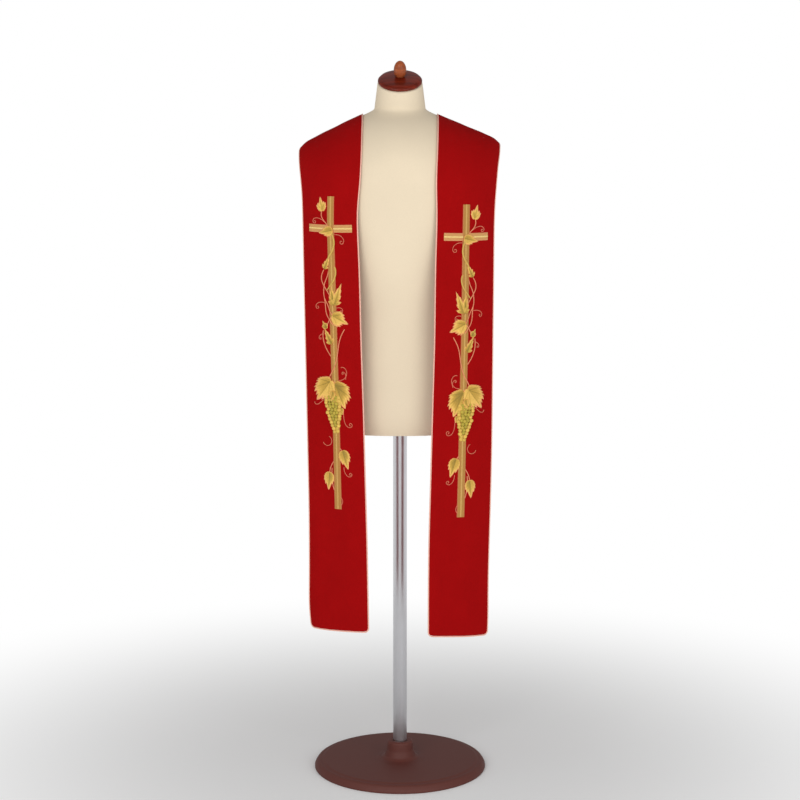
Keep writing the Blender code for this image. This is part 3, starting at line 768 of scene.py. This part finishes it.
def eased(count, crowding):
    """Places from 0 to 1 that crowd at both ends: t - crowding sin(2 pi t) / (2 pi)."""
    t = np.linspace(0, 1, count)
    return t - crowding * np.sin(2 * math.pi * t) / (2 * math.pi)


def corner_inset(along, radius):
    """How far a rounded corner keeps the cloth from its edge: radius less the circle's half-chord."""
    below = np.clip(radius - along, 0, radius)
    return radius - np.sqrt(radius ** 2 - below ** 2)


def cloth_patch(band, settings):
    """The band as rings: its face from edge to edge, and its back from edge to edge. Near an edge the
    face and the back draw together, by a share of the thickness times a bell of the distance to it."""
    way = np.concatenate([
        np.linspace(0, 1, CORNER_ROWS)[:-1] * settings.corner_radius,
        np.linspace(settings.corner_radius, band.length, BAND_ROWS),
    ])
    along, across = np.meshgrid(way, eased(BAND_COLUMNS, EDGE_CROWDING), indexing="ij")
    width = band.width(way)[:, None]
    inset = corner_inset(way, settings.corner_radius)[:, None] - settings.cloth_reach
    from_edge = (width - 2 * inset) * np.minimum(across, 1 - across)
    share = (inset + across * (width - 2 * inset)) / width
    half = settings.cloth_thickness / 2 * (1 - EDGE_THINNING * np.exp(-(from_edge / EDGE_SOFTNESS) ** 2))
    middle = band.point(share, along, 0.0)
    out = band.normal(share, along) * half[..., None]
    rings = band.own_side(np.concatenate([middle + out, (middle - out)[:, ::-1]], axis=1))
    cloth_uv = np.stack([share * width, along], -1)
    uv = np.concatenate([cloth_uv, cloth_uv[:, ::-1], cloth_uv[:, :1]], axis=1)
    return Patch(rings, uv, np.zeros(rings.shape[:2]))


def edge_path(band, settings):
    """The band's edge as (share, along), down the outer side, round both hem corners and up the inner
    side. The corners are quarter circles."""
    radius = settings.corner_radius
    up = np.arange(radius, band.length - GAP, settings.piping_step)
    swing = np.linspace(0, math.pi / 2, CORNER_STEPS)[1:-1]
    hem_width = band.width(np.array([0.0]))[0]
    r = radius / hem_width
    across = np.arange(1 - r, r, -settings.piping_step / hem_width)
    outer = np.stack([np.ones_like(up), up[::-1]], -1)
    outer_corner = np.stack([1 - r + r * np.cos(swing), radius - radius * np.sin(swing)], -1)
    hem = np.stack([across, np.zeros_like(across)], -1)
    inner_corner = np.stack([r - r * np.sin(swing), radius - radius * np.cos(swing)], -1)
    inner = np.stack([np.zeros_like(up), up], -1)
    return np.concatenate([outer, outer_corner, hem, inner_corner, inner])


def piping_patch(band, settings):
    """A cord of three strands. A ring's radius is least between the strands and grows by their crowns,
    as |cos(1.5 (turn - twist))|, and the twist grows evenly along the cord. The cord's middle is the
    edge, moved out in the cloth."""
    path = edge_path(band, settings)
    share, along = path[:, 0], path[:, 1]
    at = band.point(share, along, 0.0)
    normal = band.normal(share, along)
    run = np.gradient(at, axis=0)
    run /= np.linalg.norm(run, axis=1, keepdims=True)
    out = np.cross(normal, run) * band.sign
    out /= np.linalg.norm(out, axis=1, keepdims=True)
    up = np.cross(run, out)
    centre = at + out * PIPING_OFF
    way = path_length(centre)
    turn = full_turn(CORD_SIDES)
    twist = 2 * math.pi * way / settings.strand_lead
    crown = np.abs(np.cos(STRANDS / 2 * (turn[None, :] - twist[:, None])))
    radius = settings.piping_radius * (CORD_GROOVE + CORD_CROWN * crown)
    rings = centre[:, None] + radius[..., None] * (
        np.cos(turn)[None, :, None] * out[:, None] + np.sin(turn)[None, :, None] * up[:, None])
    # The crown is also the tone, which the material makes into painted highlight on the crowns and painted
    # shade between the strands.
    return grid_patch(band.own_side(rings), way, crown)


def bar_patch(start, end, half_width, rise):
    """A stitched bar between two places: its section rises steeply from each edge to a padded top with a
    raised line down the middle and a shallow groove on each side of it."""
    start, end = np.array(start) * MM, np.array(end) * MM
    run = end - start
    length = np.linalg.norm(run)
    square = np.array([-run[1], run[0]]) / length
    t = np.linspace(0, 1, int(length / BAR_STEP))
    across = np.sin(np.linspace(-1, 1, BAR_POINTS) * math.pi / 2)
    line = LINE_RISE * np.exp(-(across / LINE_WIDTH) ** 2)
    grooves = GROOVE_DEPTH * np.exp(-((np.abs(across) - GROOVE_PLACE) / GROOVE_WIDTH) ** 2)
    lift = rise * (1 - np.abs(across) ** 6) ** 0.5 + (line - grooves)
    section = np.concatenate([across, across[::-1][1:-1]])
    height = np.concatenate([lift, np.full(len(across) - 2, -NEEDLE_SINK)])
    rings = np.empty((len(t), len(section), 3))
    rings[..., :2] = (start + run * t[:, None])[:, None] + square * (half_width * section)[None, :, None]
    rings[..., 2] = height
    return grid_patch(rings, length * t, np.abs(section))


def leaf_patch(leaf):
    """A leaf's rings round the point where its stalk meets it: each point is reach times a share, in a
    direction. The outline is a spline through the leaf's half outline, cut by teeth that lean to the
    tip. The face is domed, with grooves for veins; two more rings close it beneath. Stitches run from
    the midrib to the edge, so that the UV counts across them. The tone rises towards the edge, with the
    leaf's own lightness, painted light on one half and painted shade on the other, and falls in the veins."""
    sides = LEAF_SIDES[leaf.kind]
    turn = np.arange(sides + 1) * 2 * math.pi / sides - math.pi
    fold = np.abs(turn)
    half = np.array(OUTLINES[leaf.kind])
    outline = curve(np.radians(half[:, 0]), half[:, 1], fold)
    teeth = (fold * TEETH[leaf.kind] / (2 * math.pi)) % 1
    outline *= 1 - TOOTH_DEPTH * teeth * np.clip(fold / 0.15, 0, 1)
    shares = np.array(LEAF_RINGS)[:, None]
    reach = leaf.reach * MM * outline * shares
    off_vein = np.min([np.abs(fold - math.radians(vein)) for vein in VEINS[leaf.kind]], axis=0)
    vein = np.exp(-(reach * np.sin(np.minimum(off_vein, math.pi / 2)) / VEIN_WIDTH) ** 2) * (shares < 0.9)
    dome = LEAF_DOME * (1 - shares ** 4) ** 0.6
    rise = leaf.lift * MM * (1 - 0.25 * shares ** 4) + dome - VEIN_DEPTH * vein
    heading = turn + math.radians(leaf.turn)
    out, up = leaf.out * MM + reach * np.sin(heading), leaf.up * MM + reach * np.cos(heading)
    face = np.stack([out, up, rise], -1)
    # Painted light and shade: one half of the leaf is made lighter and the other darker, by which way the
    # leaf points, on top of the leaf's own lightness.
    lightness_and_painted_light = leaf.light + 0.12 * np.sign(np.sin(turn) * math.cos(math.radians(leaf.turn - 60)))
    tone = 0.28 + 0.68 * shares ** 4 + lightness_and_painted_light * (1.3 - shares) - 0.34 * vein
    tone = np.concatenate([tone, tone[[-1, -1]]])
    forward, aside = reach * np.cos(turn), reach * np.abs(np.sin(turn))
    stitch = np.stack([forward - 0.8 * aside, aside], -1)
    uv = np.concatenate([stitch, stitch[[-1, -1]]])
    return Patch(closed_beneath(face)[:, :-1], uv, tone[:, :-1])


def berry_rings(out, up, radius, lift):
    """A grape as a low dome: shares of its radius with a quarter circle of height, closed beneath."""
    turn = full_turn(BERRY_SIDES)
    rise = np.linspace(math.radians(88), 0, BERRY_RINGS)[:, None]
    shape = np.broadcast_arrays(
        out + radius * np.cos(rise) * np.cos(turn), up + radius * np.cos(rise) * np.sin(turn),
        lift + BERRY_ROUNDNESS * radius * np.sin(rise))
    return closed_beneath(np.stack(shape, -1))


def stem_path(bends):
    """A stem: splines through its bends over the way between them. It lies on the cloth, rises where it
    crosses over the shaft and sinks where it crosses under it."""
    bends = np.array(bends, float)
    knots = path_length(bends[:, :2])
    at = np.linspace(0, knots[-1], int(knots[-1] / STEM_STEP))
    out, up, over = (curve(knots, column, at) for column in bends.T)
    near = np.exp(-(out / SHAFT_REACH) ** 4)
    lift = STEM_LIFT + near * (np.clip(over, 0, 1) * (CROSSING_RISE + CROSSING_SINK) - CROSSING_SINK)
    return np.stack([out, up, lift], -1) * MM


def thinning(path, thick, thin):
    """Radii along a path: thick, less the difference to thin times the sixth power of the way along."""
    t = np.linspace(0, 1, len(path))
    return thick - (thick - thin) * t ** 6


def tendril_path(tendril):
    """A tendril: its heading turns evenly with the way along it, and faster, as the fourth power, into
    the coil at its end."""
    t = np.linspace(0, 1, TENDRIL_STEPS)
    heading = np.radians(tendril.turn + tendril.arc * t + tendril.coil * t ** 4)
    step = tendril.length / len(t)
    out = tendril.out + np.cumsum(np.sin(heading)) * step
    up = tendril.up + np.cumsum(np.cos(heading)) * step
    return np.stack([out * MM, up * MM, np.full_like(t, 0.3 * MM) + 0.4 * MM * t], -1)


# ---------------------------------------------------------------- settings and operators

def size_setting(name, description, default):
    """A length that a user may change, in metres."""
    return FloatProperty(name=name, description=description, default=default, unit="LENGTH")


def colour_setting(name, description, default):
    """A colour that a user may change, in linear red, green and blue."""
    return FloatVectorProperty(name=name, description=description, default=default, subtype="COLOR")


class StoleSettings(PropertyGroup):
    """Sizes and colours of the stole."""

    cloth_thickness: size_setting("Cloth thickness", "Face cloth, interlining and back pressed together",
                                  2.0 * MM)
    cloth_reach: size_setting("Cloth reach", "How far the cloth runs on under the piping", 0.5 * MM)
    corner_radius: size_setting("Hem corner", "Radius of the hem's two corners", 8 * MM)
    thread_pitch: size_setting("Thread pitch", "From one thread of the weave to the next", 0.9 * MM)
    cloth_colour: colour_setting("Cloth", "Red of the cloth", (0.312, 0.0026, 0.0032))
    cloth_light: colour_setting("Cloth slubs", "Red of the lighter threads", (0.378, 0.0042, 0.0050))
    piping_radius: size_setting("Piping radius", "Radius of the twisted cord", 1.5 * MM)
    piping_step: size_setting("Piping step", "Between two rings of the cord", 1.0 * MM)
    strand_lead: size_setting("Strand lead", "Length in which a strand goes once round", 13 * MM)
    piping_colour: colour_setting("Piping", "Pinkish gold of the piping", (0.85, 0.465, 0.37))


class NeedleSettings(PropertyGroup):
    """Sizes and colours of the embroidery."""

    cross_height: size_setting("Cross height", "From foot to top", 693 * MM)
    arm_down: size_setting("Arm below top", "From the top to the middle of the arm", 71 * MM)
    arm_length: size_setting("Arm length", "From end to end", 111 * MM)
    shaft_width: size_setting("Shaft width", "Width of the shaft", 18 * MM)
    arm_width: size_setting("Arm width", "Height of the arm", 17 * MM)
    stem_radius: size_setting("Stem radius", "Radius of a stem's cord", 1.05 * MM)
    vine_radius: size_setting("Vine radius", "Radius of the vine where it is thick", 2.2 * MM)
    tendril_radius: size_setting("Tendril radius", "Radius of a tendril's thread", 0.75 * MM)
    berry_radius: size_setting("Grape radius", "Radius of a grape", 4.5 * MM)
    shaft_gold: colour_setting("Shaft", "Olive gold of the shaft", (0.46, 0.222, 0.050))
    shaft_line: colour_setting("Shaft line", "The line down the shaft", (0.64, 0.40, 0.12))
    shaft_edge: colour_setting("Shaft edge", "Peach gold beside the shaft", (0.52, 0.16, 0.06))
    arm_gold: colour_setting("Arm", "Gold of the arm", (0.60, 0.305, 0.10))
    arm_line: colour_setting("Arm line", "The line along the arm", (0.86, 0.66, 0.24))
    arm_edge: colour_setting("Arm edge", "Peach gold of the arm's edges", (0.68, 0.30, 0.13))
    vein: colour_setting("Veins", "Olive of a leaf's veins", (0.30, 0.20, 0.03))
    leaf_heart: colour_setting("Leaf heart", "Green gold in a leaf's middle", (0.55, 0.33, 0.052))
    leaf_pale: colour_setting("Leaf pale", "Pale gold between a leaf's heart and its edge",
                              (0.84, 0.53, 0.115))
    leaf_edge: colour_setting("Leaf edge", "Peach gold of a leaf's edge", (0.84, 0.35, 0.145))
    stem_gold: colour_setting("Stems", "Pinkish gold of stems and tendrils", (0.60, 0.10, 0.07))
    stem_light: colour_setting("Stem lights", "Peach gold where a stem is lightest", (0.80, 0.28, 0.14))
    vine_gold: colour_setting("Vine", "Olive gold of the thick vine", (0.60, 0.38, 0.085))
    grape_green: colour_setting("Green grapes", "Green gold of the inner grapes", (0.32, 0.25, 0.03))
    grape_gold: colour_setting("Gold grapes", "Gold of the outer grapes", (0.60, 0.39, 0.075))


class FormSettings(PropertyGroup):
    """Colours and fineness of the dress form."""

    sides: IntProperty(name="Sides", description="Points round a ring of the body", default=128)
    jersey_colour: colour_setting("Jersey", "Cream of the cover", (0.72, 0.61, 0.45))
    wood_colour: colour_setting("Mahogany", "Dark of the grain", (0.082, 0.006, 0.0015))
    wood_light: colour_setting("Mahogany light", "Light of the grain", (0.22, 0.019, 0.005))
    # The knob is the same mahogany as the cap, made lighter and more orange: painted highlight where the
    # light falls on it, not a lighter wood.
    knob_dark_with_painted_highlight: colour_setting("Knob", "Dark of the knob's lighter grain", (0.17, 0.030, 0.009))
    knob_light_with_painted_highlight: colour_setting("Knob light", "Light of the knob's grain", (0.40, 0.10, 0.030))
    steel_colour: colour_setting("Steel", "Satin steel of the pole", (0.60, 0.60, 0.62))


class StageSettings(PropertyGroup):
    """The camera, the light and the floor."""

    distance: size_setting("Distance", "Camera to the form's middle plane", 4.2)
    eye_height: size_setting("Eye height", "Of the camera", 1.45)
    pitch: FloatProperty(name="Pitch", description="How far the camera looks down",
                         default=math.radians(7.9), unit="ROTATION")
    lens: FloatProperty(name="Lens", description="Focal length in millimetres", default=83.3,
                        unit="CAMERA")
    floor_radius: size_setting("Floor", "Radius of the pale floor", 30.0)
    key_power: FloatProperty(name="Key light", description="Watts of the main soft light",
                             default=68.0, unit="POWER")
    fill_power: FloatProperty(name="Fill light", description="Watts of the fill light",
                              default=48.0, unit="POWER")
    sky: FloatProperty(name="Sky", description="Strength of the light from all round", default=0.44)


class StoleOperator:
    """What the operators share: each makes its pieces afresh and can be undone."""

    bl_options = {"REGISTER", "UNDO"}

    def execute(self, context):
        self.make(context.scene)
        return {"FINISHED"}


class STOLE_OT_piping(StoleOperator, Operator):
    """Winds the twisted gold cord round each band's edges"""

    bl_idname = "stole.piping"
    bl_label = "Piping"

    def make(self, scene):
        surface = piping_material()
        for side in SIDES:
            patch = piping_patch(Band(side), scene.stole)
            make_piece(f"cord_{side}", [patch], surface, [f"piping_{side}"])


class STOLE_OT_crosses(StoleOperator, Operator):
    """Stitches the raised cross on each band: the shaft over the arm"""

    bl_idname = "stole.crosses"
    bl_label = "Crosses"

    def make(self, scene):
        needle = scene.needle
        height, arm_up = needle.cross_height / MM, (needle.cross_height - needle.arm_down) / MM
        half_arm = needle.arm_length / 2 / MM
        bars = {
            "shaft": (bar_patch((0, 0), (0, height), needle.shaft_width / 2, SHAFT_RISE),
                      needle.shaft_line, needle.shaft_gold, needle.shaft_edge, "cross"),
            "arm": (bar_patch((-half_arm, arm_up), (half_arm, arm_up), needle.arm_width / 2, ARM_RISE),
                    needle.arm_line, needle.arm_gold, needle.arm_edge, None),
        }
        for part, (bar, line, gold, edge, stands_for) in bars.items():
            stops = ((0.06, line), (0.24, gold), (0.72, gold), (0.98, edge))
            surface = thread_material(f"{part}_thread", stops, 0.8 * MM, along_ring=True)
            sew_on(surface, {f"cross_{part}": [bar]}, stands_for)


class STOLE_OT_stems(StoleOperator, Operator):
    """Couches the twining stems, the leaves' stalks and the tendrils"""

    bl_idname = "stole.stems"
    bl_label = "Stems and tendrils"

    def make(self, scene):
        needle = scene.needle
        stops = ((0.0, needle.stem_gold), (0.55, needle.stem_light), (0.9, needle.vine_gold))
        surface = thread_material("stem_thread", stops, 1.6 * MM, along_ring=True)
        stems = [cord_patch(stem_path(bends), needle.stem_radius, 0.5) for bends in STEMS]
        vine = stem_path(VINE)
        stems.append(cord_patch(vine, thinning(vine, needle.vine_radius, needle.stem_radius), 1.0))
        curls = [cord_patch(tendril_path(curl), needle.tendril_radius, 0.25) for curl in TENDRILS]
        sew_on(surface, {"stems": stems, "tendrils": curls})


class STOLE_OT_leaves(StoleOperator, Operator):
    """Fills the leaves in padded satin stitch, from green gold to peach gold"""

    bl_idname = "stole.leaves"
    bl_label = "Leaves"

    def make(self, scene):
        needle = scene.needle
        stops = ((0.0, needle.vein), (0.3, needle.leaf_heart), (0.6, needle.leaf_pale),
                 (0.95, needle.leaf_edge))
        surface = thread_material("leaf_thread", stops, 0.9 * MM)
        sew_on(surface, {"leaves": [leaf_patch(leaf) for leaf in LEAVES]})


class STOLE_OT_grapes(StoleOperator, Operator):
    """Works the bunch of grapes: staggered rows that narrow to the tip, green inside and gold outside"""

    bl_idname = "stole.grapes"
    bl_label = "Grapes"

    def make(self, scene):
        needle = scene.needle
        green, gold = needle.grape_green, needle.grape_gold
        # The brighter greens and golds are painted highlight on the grapes' tops.
        stops = ((0.0, green), (0.42, brighter(green, 1.6)), (0.6, gold), (1.0, brighter(gold, 1.35)))
        surface = thread_material("grape_thread", stops, 0.08)
        # Painted highlight: each grape's tone rises from its rim to its top, so it is darker at the rim and
        # lighter on top.
        crown = np.concatenate([0.4 * (1 - np.linspace(0, 1, BERRY_RINGS) ** 2), [0, 0]])[:, None]
        # Sines of the row and the place in it keep the grapes from looking all alike.
        berries = []
        for row, count in enumerate(BERRY_ROWS):
            for k in range(count):
                place = k - (count - 1) / 2
                out = BUNCH_OUT - BUNCH_LEAN * row + place * BERRY_PITCH
                out += 0.7 * math.sin(9.1 * row + 5.3 * k)
                up = BUNCH_TOP - row * BERRY_ROW_PITCH + 0.9 * math.sin(4.7 * row + 2.9 * k)
                gilt = 0.5 * (abs(place) > 0.3 * count or row > 9) + 0.14 * math.sin(2.3 * row + 4.1 * k)
                size = needle.berry_radius * (1 + 0.07 * math.sin(3.1 * row + 7.7 * k))
                rings = berry_rings(out * MM, up * MM, size, BERRY_LIFT)
                berries.append(grid_patch(rings, tone=gilt + crown))
        sew_on(surface, {"grapes": berries})


class STOLE_OT_bands(StoleOperator, Operator):
    bl_idname = "stole.bands"
    bl_label = "Bands"

    def make(self, scene):
        surface = red_cloth()
        for side in SIDES:
            patch = cloth_patch(Band(side), scene.stole)
            piece = make_piece(f"band_{side}", [patch], surface, [f"panel_{side}"])


# ---------------------------------------------------------------- the dress form's pieces

def form_half_depth(x, z, front):
    """The form's depth under the cloth's arch: the ellipse of the arch, brought in, or 0 above it."""
    slope = np.where(x < 0, SHOULDER_SLOPE["right"], SHOULDER_SLOPE["left"])
    x = np.abs(x)
    depth, height, _ = arch(x, front)
    inside = np.sqrt(np.maximum(0, 1 - (x / SHOULDER_TIP_X) ** 6))
    depth = (depth - TORSO_INSET) * inside
    share = np.clip((ridge_height(x, slope) - TORSO_SINK - z) / height, 0, 1)
    return depth * np.sqrt(np.maximum(0, 1 - (1 - share) ** 2))


def shoulder_radius(turn, z, centre_y):
    """How far out the shoulders reach at each angle, found by halving the reach forty times."""
    near, far = np.zeros_like(turn), np.full_like(turn, 0.3)
    for _ in range(40):
        reach = (near + far) / 2
        x, y = reach * np.cos(turn), centre_y + reach * np.sin(turn)
        limit = np.where(y < 0, form_half_depth(x, z, True), form_half_depth(x, z, False))
        inside = np.abs(y) < limit
        near, far = np.where(inside, reach, near), np.where(inside, far, reach)
    return near


def smooth_most(a, b, blend):
    """The larger of a and b, rounded where they are within blend of each other."""
    h = np.maximum(blend - np.abs(a - b), 0) / blend
    return np.maximum(a, b) + h * h * blend / 4


def form_rings(sides):
    """The body's level rings: a rounded oval from the table's splines, kept under the shoulders and
    joined to the neck's circle, with the top rings tilted forward."""
    heights = np.concatenate([
        [800, 801, 803, 806, 812, 820, 835], np.arange(850, 1400, 10), np.arange(1400, 1550, 3),
        np.arange(1550, 1577, 4), [1578, 1580.5, 1582, 1583],
    ]) * MM
    even = np.linspace(0, 2 * math.pi, sides, endpoint=False)
    turn = even - 0.3 * np.sin(2 * even)
    table = np.array(TORSO) * MM
    sizes = [curve(table[:, 0], column, heights) for column in table.T[1:]]
    rings = []
    for z, half_width, front, back in zip(heights, *sizes):
        rise = np.clip((z - NECK_BASE_Z) / (NECK_TOP_Z - NECK_BASE_Z), 0, 1)
        centre_y = -NECK_LEAN * rise
        depth = np.where(np.sin(turn) < 0, front, back)
        aside, ahead = np.abs(np.cos(turn) / half_width), np.abs(np.sin(turn) / depth)
        oval = (aside ** OVAL + ahead ** OVAL) ** (-1 / OVAL)
        reach = -smooth_most(-oval, -shoulder_radius(turn, z, centre_y), SHOULDER_BLEND)
        neck = part_way(NECK_BASE_RADIUS, NECK_TOP_RADIUS, rise)
        if z > NECK_POINT_Z - 120 * MM:
            reach = smooth_most(reach, np.full_like(reach, neck), FILLET)
        reach = reach - TOP_ROUNDING * np.exp(-((NECK_TOP_Z - z) / TOP_SOFTNESS) ** 2)
        tilt = np.clip((z - TILT_START_Z) / (NECK_TOP_Z - TILT_START_Z), 0, 1)
        forward = reach * np.sin(turn) * (1 - tilt * (1 - math.cos(NECK_TILT)))
        level = z + math.tan(NECK_TILT) * tilt * forward
        rings.append(np.stack([reach * np.cos(turn), centre_y + forward, level], -1))
    return np.array(rings)


def rounded_profile(corners, bevel):
    """A profile's corners, each cut by a small arc drawn as a parabola between points bevel away."""
    corners = np.array(corners) * MM
    points = [corners[0]]
    for before, at, after in zip(corners, corners[1:], corners[2:]):
        reach = min(bevel * MM, 0.45 * np.linalg.norm(before - at), 0.45 * np.linalg.norm(after - at))
        start = at + (before - at) / np.linalg.norm(before - at) * reach
        end = at + (after - at) / np.linalg.norm(after - at) * reach
        for t in np.linspace(0, 1, BEVEL_STEPS):
            points.append((1 - t) ** 2 * start + 2 * t * (1 - t) * at + t ** 2 * end)
    points.append(corners[-1])
    return np.array(points)


def turned_patch(profile, sides, tilt=0.0, foot=(0, 0, 0)):
    """A turned piece: each (radius, height) of the profile goes round +Z, then tilts about X and moves."""
    turn = full_turn(sides)
    radius, height = np.maximum(profile[:, 0], 0.05 * MM)[:, None], profile[:, 1][:, None]
    x, y, z = np.broadcast_arrays(radius * np.cos(turn), radius * np.sin(turn), height)
    cos, sin = math.cos(tilt), math.sin(tilt)
    return grid_patch(np.stack([x, y * cos - z * sin, y * sin + z * cos], -1) + np.array(foot))


class STOLE_OT_form_body(StoleOperator, Operator):
    """Covers the limbless body and neck in cream jersey"""

    bl_idname = "stole.form_body"
    bl_label = "Form's body"

    def make(self, scene):
        patch = grid_patch(form_rings(scene.form.sides))
        make_piece("form_body", [patch], cream_jersey(), ["torso"])


class STOLE_OT_neck_cap(StoleOperator, Operator):
    """Turns the mahogany cap of the neck and its knob"""

    bl_idname = "stole.neck_cap"
    bl_label = "Neck cap"

    def make(self, scene):
        form = scene.form
        foot = np.array([0, -NECK_LEAN, NECK_TOP_Z])
        axis = np.array([0, -math.sin(NECK_TILT), math.cos(NECK_TILT)])
        rim = rounded_profile(
            [(0, 0.3), (46.5, 0.3), (49.5, 3.3), (49.5, 6.3), (46.5, 9.3), (45, 9.7)], 1.6)
        t = np.linspace(math.radians(14), math.pi / 2, 20)
        dome = np.stack([46.5 * np.cos(t), 9.3 + 6 * np.sin(t)], -1) * MM
        cap = turned_patch(np.concatenate([rim, dome]), 128, NECK_TILT, foot)
        make_piece("cap", [cap], mahogany("mahogany", form.wood_colour, form.wood_light),
                   ["neck_cap"])
        lower = np.linspace(math.pi / 2, 0, 12)[:-1]
        upper = np.linspace(0, math.pi / 2, 20)
        ball = np.concatenate([
            [(0, 0)],
            np.stack([8 + 6 * np.cos(lower), 15 * (1 - np.sin(lower))], -1),
            np.stack([14 * np.cos(upper), 15 + 22 * np.sin(upper)], -1),
        ]) * MM
        knob = turned_patch(ball, 64, NECK_TILT, foot + axis * 15.6 * MM)
        # Painted highlight: the knob gets the lighter copy of the mahogany.
        make_piece("knob", [knob], mahogany("mahogany_knob_painted_highlight", form.knob_dark_with_painted_highlight, form.knob_light_with_painted_highlight),
                   ["neck_knob"])


class STOLE_OT_stand(StoleOperator, Operator):
    """Makes the steel pole with its flange, and the turned mahogany base"""

    bl_idname = "stole.stand"
    bl_label = "Stand"

    def make(self, scene):
        tube, rim = POLE_RADIUS / MM, BASE_RADIUS / MM
        pole = rounded_profile(
            [(0, 28.3), (tube, 28.3), (tube, 791.7), (50, 791.7), (50, 799.7), (0, 799.7)], 1.2)
        make_piece("pole_tube", [turned_patch(pole, 64)], satin_steel(), ["pole"])
        base = rounded_profile(
            [(0, 28), (tube + 0.3, 28), (tube + 0.3, 62), (27, 62), (30, 59), (31, 40), (36, 26), (44, 21),
             (60, 20), (178, 20), (184, 17.5), (189, 17.5), (194, 15), (198, 9), (rim, 5), (rim, 0), (0, 0)],
            2.0)
        make_piece("base", [turned_patch(base, 160)], bpy.data.materials["mahogany"],
                   ["stand_base"])


class STOLE_OT_stage(StoleOperator, Operator):
    """Sets the pale floor, the soft lights and the camera"""

    bl_idname = "stole.stage"
    bl_label = "Stage"

    def make(self, scene):
        stage = scene.stage
        self.floor(stage)
        self.sky(scene, stage)
        self.lamp("key", place=(-1.6, -3.9, 2.1), aim=(0, 0, 1.05), size=2.4, power=stage.key_power)
        self.lamp("fill", place=(2.2, -3.5, 1.3), aim=(0, 0, 0.95), size=2.6, power=stage.fill_power)
        camera = bpy.data.objects.new("camera", bpy.data.cameras.new("camera"))
        camera.location = (0, -stage.distance, stage.eye_height)
        camera.rotation_euler = (math.pi / 2 - stage.pitch, 0, 0)
        camera.data.lens = stage.lens
        camera.data.sensor_width = 36.0
        scene.collection.objects.link(camera)
        scene.camera = camera
        scene.view_settings.view_transform = "Standard"

    def floor(self, stage):
        """A round floor: matt where the shadow falls, and shining as bright as the sky further out."""
        turn = full_turn(FLOOR_SIDES)
        rim = np.stack([np.cos(turn), np.sin(turn), 0 * turn], -1) * stage.floor_radius
        mesh = bpy.data.meshes.new("floor")
        mesh.from_pydata(rim.tolist(), [], [tuple(range(FLOOR_SIDES))])
        graph = Graph("pale_floor", (0.92, 0.92, 0.92), 0.9, Specular_IOR_Level=0.1)
        far = graph.node("VectorMath", {0: graph.place()}, operation="LENGTH").outputs["Value"]
        blend = graph.node("MapRange", {"Value": far, "From Min": 0.25, "From Max": 1.7},
                           interpolation_type="SMOOTHSTEP").outputs["Result"]
        glow = graph.node("Emission", {"Color": (1, 1, 1, 1), "Strength": 1.0}).outputs[0]
        output = graph.tree.nodes["Material Output"]
        mixed = graph.node("MixShader", {0: blend, 1: graph.shader.outputs[0], 2: glow}).outputs[0]
        graph.tree.links.new(mixed, output.inputs["Surface"])
        mesh.materials.append(graph.material)
        floor = bpy.data.objects.new("floor", mesh)
        bpy.context.scene.collection.objects.link(floor)

    def sky(self, scene, stage):
        """A plain white surround, shown white and lighting the form more gently."""
        world = bpy.data.worlds.new("studio")
        world.use_nodes = True
        tree = world.node_tree
        seen = tree.nodes.new("ShaderNodeLightPath")
        strength = tree.nodes.new("ShaderNodeMapRange")
        tree.links.new(seen.outputs["Is Camera Ray"], strength.inputs["Value"])
        strength.inputs["To Min"].default_value = stage.sky
        strength.inputs["To Max"].default_value = 1.0
        background = tree.nodes["Background"]
        background.inputs["Color"].default_value = (1, 1, 1, 1)
        tree.links.new(strength.outputs["Result"], background.inputs["Strength"])
        scene.world = world

    def lamp(self, name, place, aim, size, power):
        """A square soft light that faces its aim."""
        light = bpy.data.lights.new(name, "AREA")
        light.size = size
        light.energy = power
        lamp = bpy.data.objects.new(name, light)
        lamp.location = place
        lamp.rotation_euler = (Vector(aim) - Vector(place)).to_track_quat("-Z", "Y").to_euler()
        bpy.context.scene.collection.objects.link(lamp)


class STOLE_PT_panel(Panel):
    """Lists the pieces of the stole and its form, and their sizes and colours"""

    bl_label = "Clerical Stole"
    bl_idname = "STOLE_PT_panel"
    bl_space_type = "VIEW_3D"
    bl_region_type = "UI"
    bl_category = "Stole"

    def draw(self, context):
        layout = self.layout
        for operator in OPERATORS:
            layout.operator(operator.bl_idname)
        for group in (context.scene.stole, context.scene.needle, context.scene.form, context.scene.stage):
            box = layout.box()
            for name in group.__annotations__:
                box.prop(group, name)


OPERATORS = (
    STOLE_OT_form_body, STOLE_OT_neck_cap, STOLE_OT_stand, STOLE_OT_piping, STOLE_OT_crosses,
    STOLE_OT_stems, STOLE_OT_leaves, STOLE_OT_grapes, STOLE_OT_bands, STOLE_OT_stage,
)
GROUPS = {"stole": StoleSettings, "needle": NeedleSettings, "form": FormSettings, "stage": StageSettings}


def register():
    for name, group in GROUPS.items():
        bpy.utils.register_class(group)
        setattr(bpy.types.Scene, name, PointerProperty(type=group))
    for operator in OPERATORS:
        bpy.utils.register_class(operator)
    bpy.utils.register_class(STOLE_PT_panel)


def unregister():
    bpy.utils.unregister_class(STOLE_PT_panel)
    for operator in reversed(OPERATORS):
        bpy.utils.unregister_class(operator)
    for name, group in GROUPS.items():
        delattr(bpy.types.Scene, name)
        bpy.utils.unregister_class(group)


def main():
    register()
    for operator in OPERATORS:
        family, action = operator.bl_idname.split(".")
        getattr(getattr(bpy.ops, family), action)()
    bpy.context.view_layer.update()


if __name__ == "__main__":
    main()
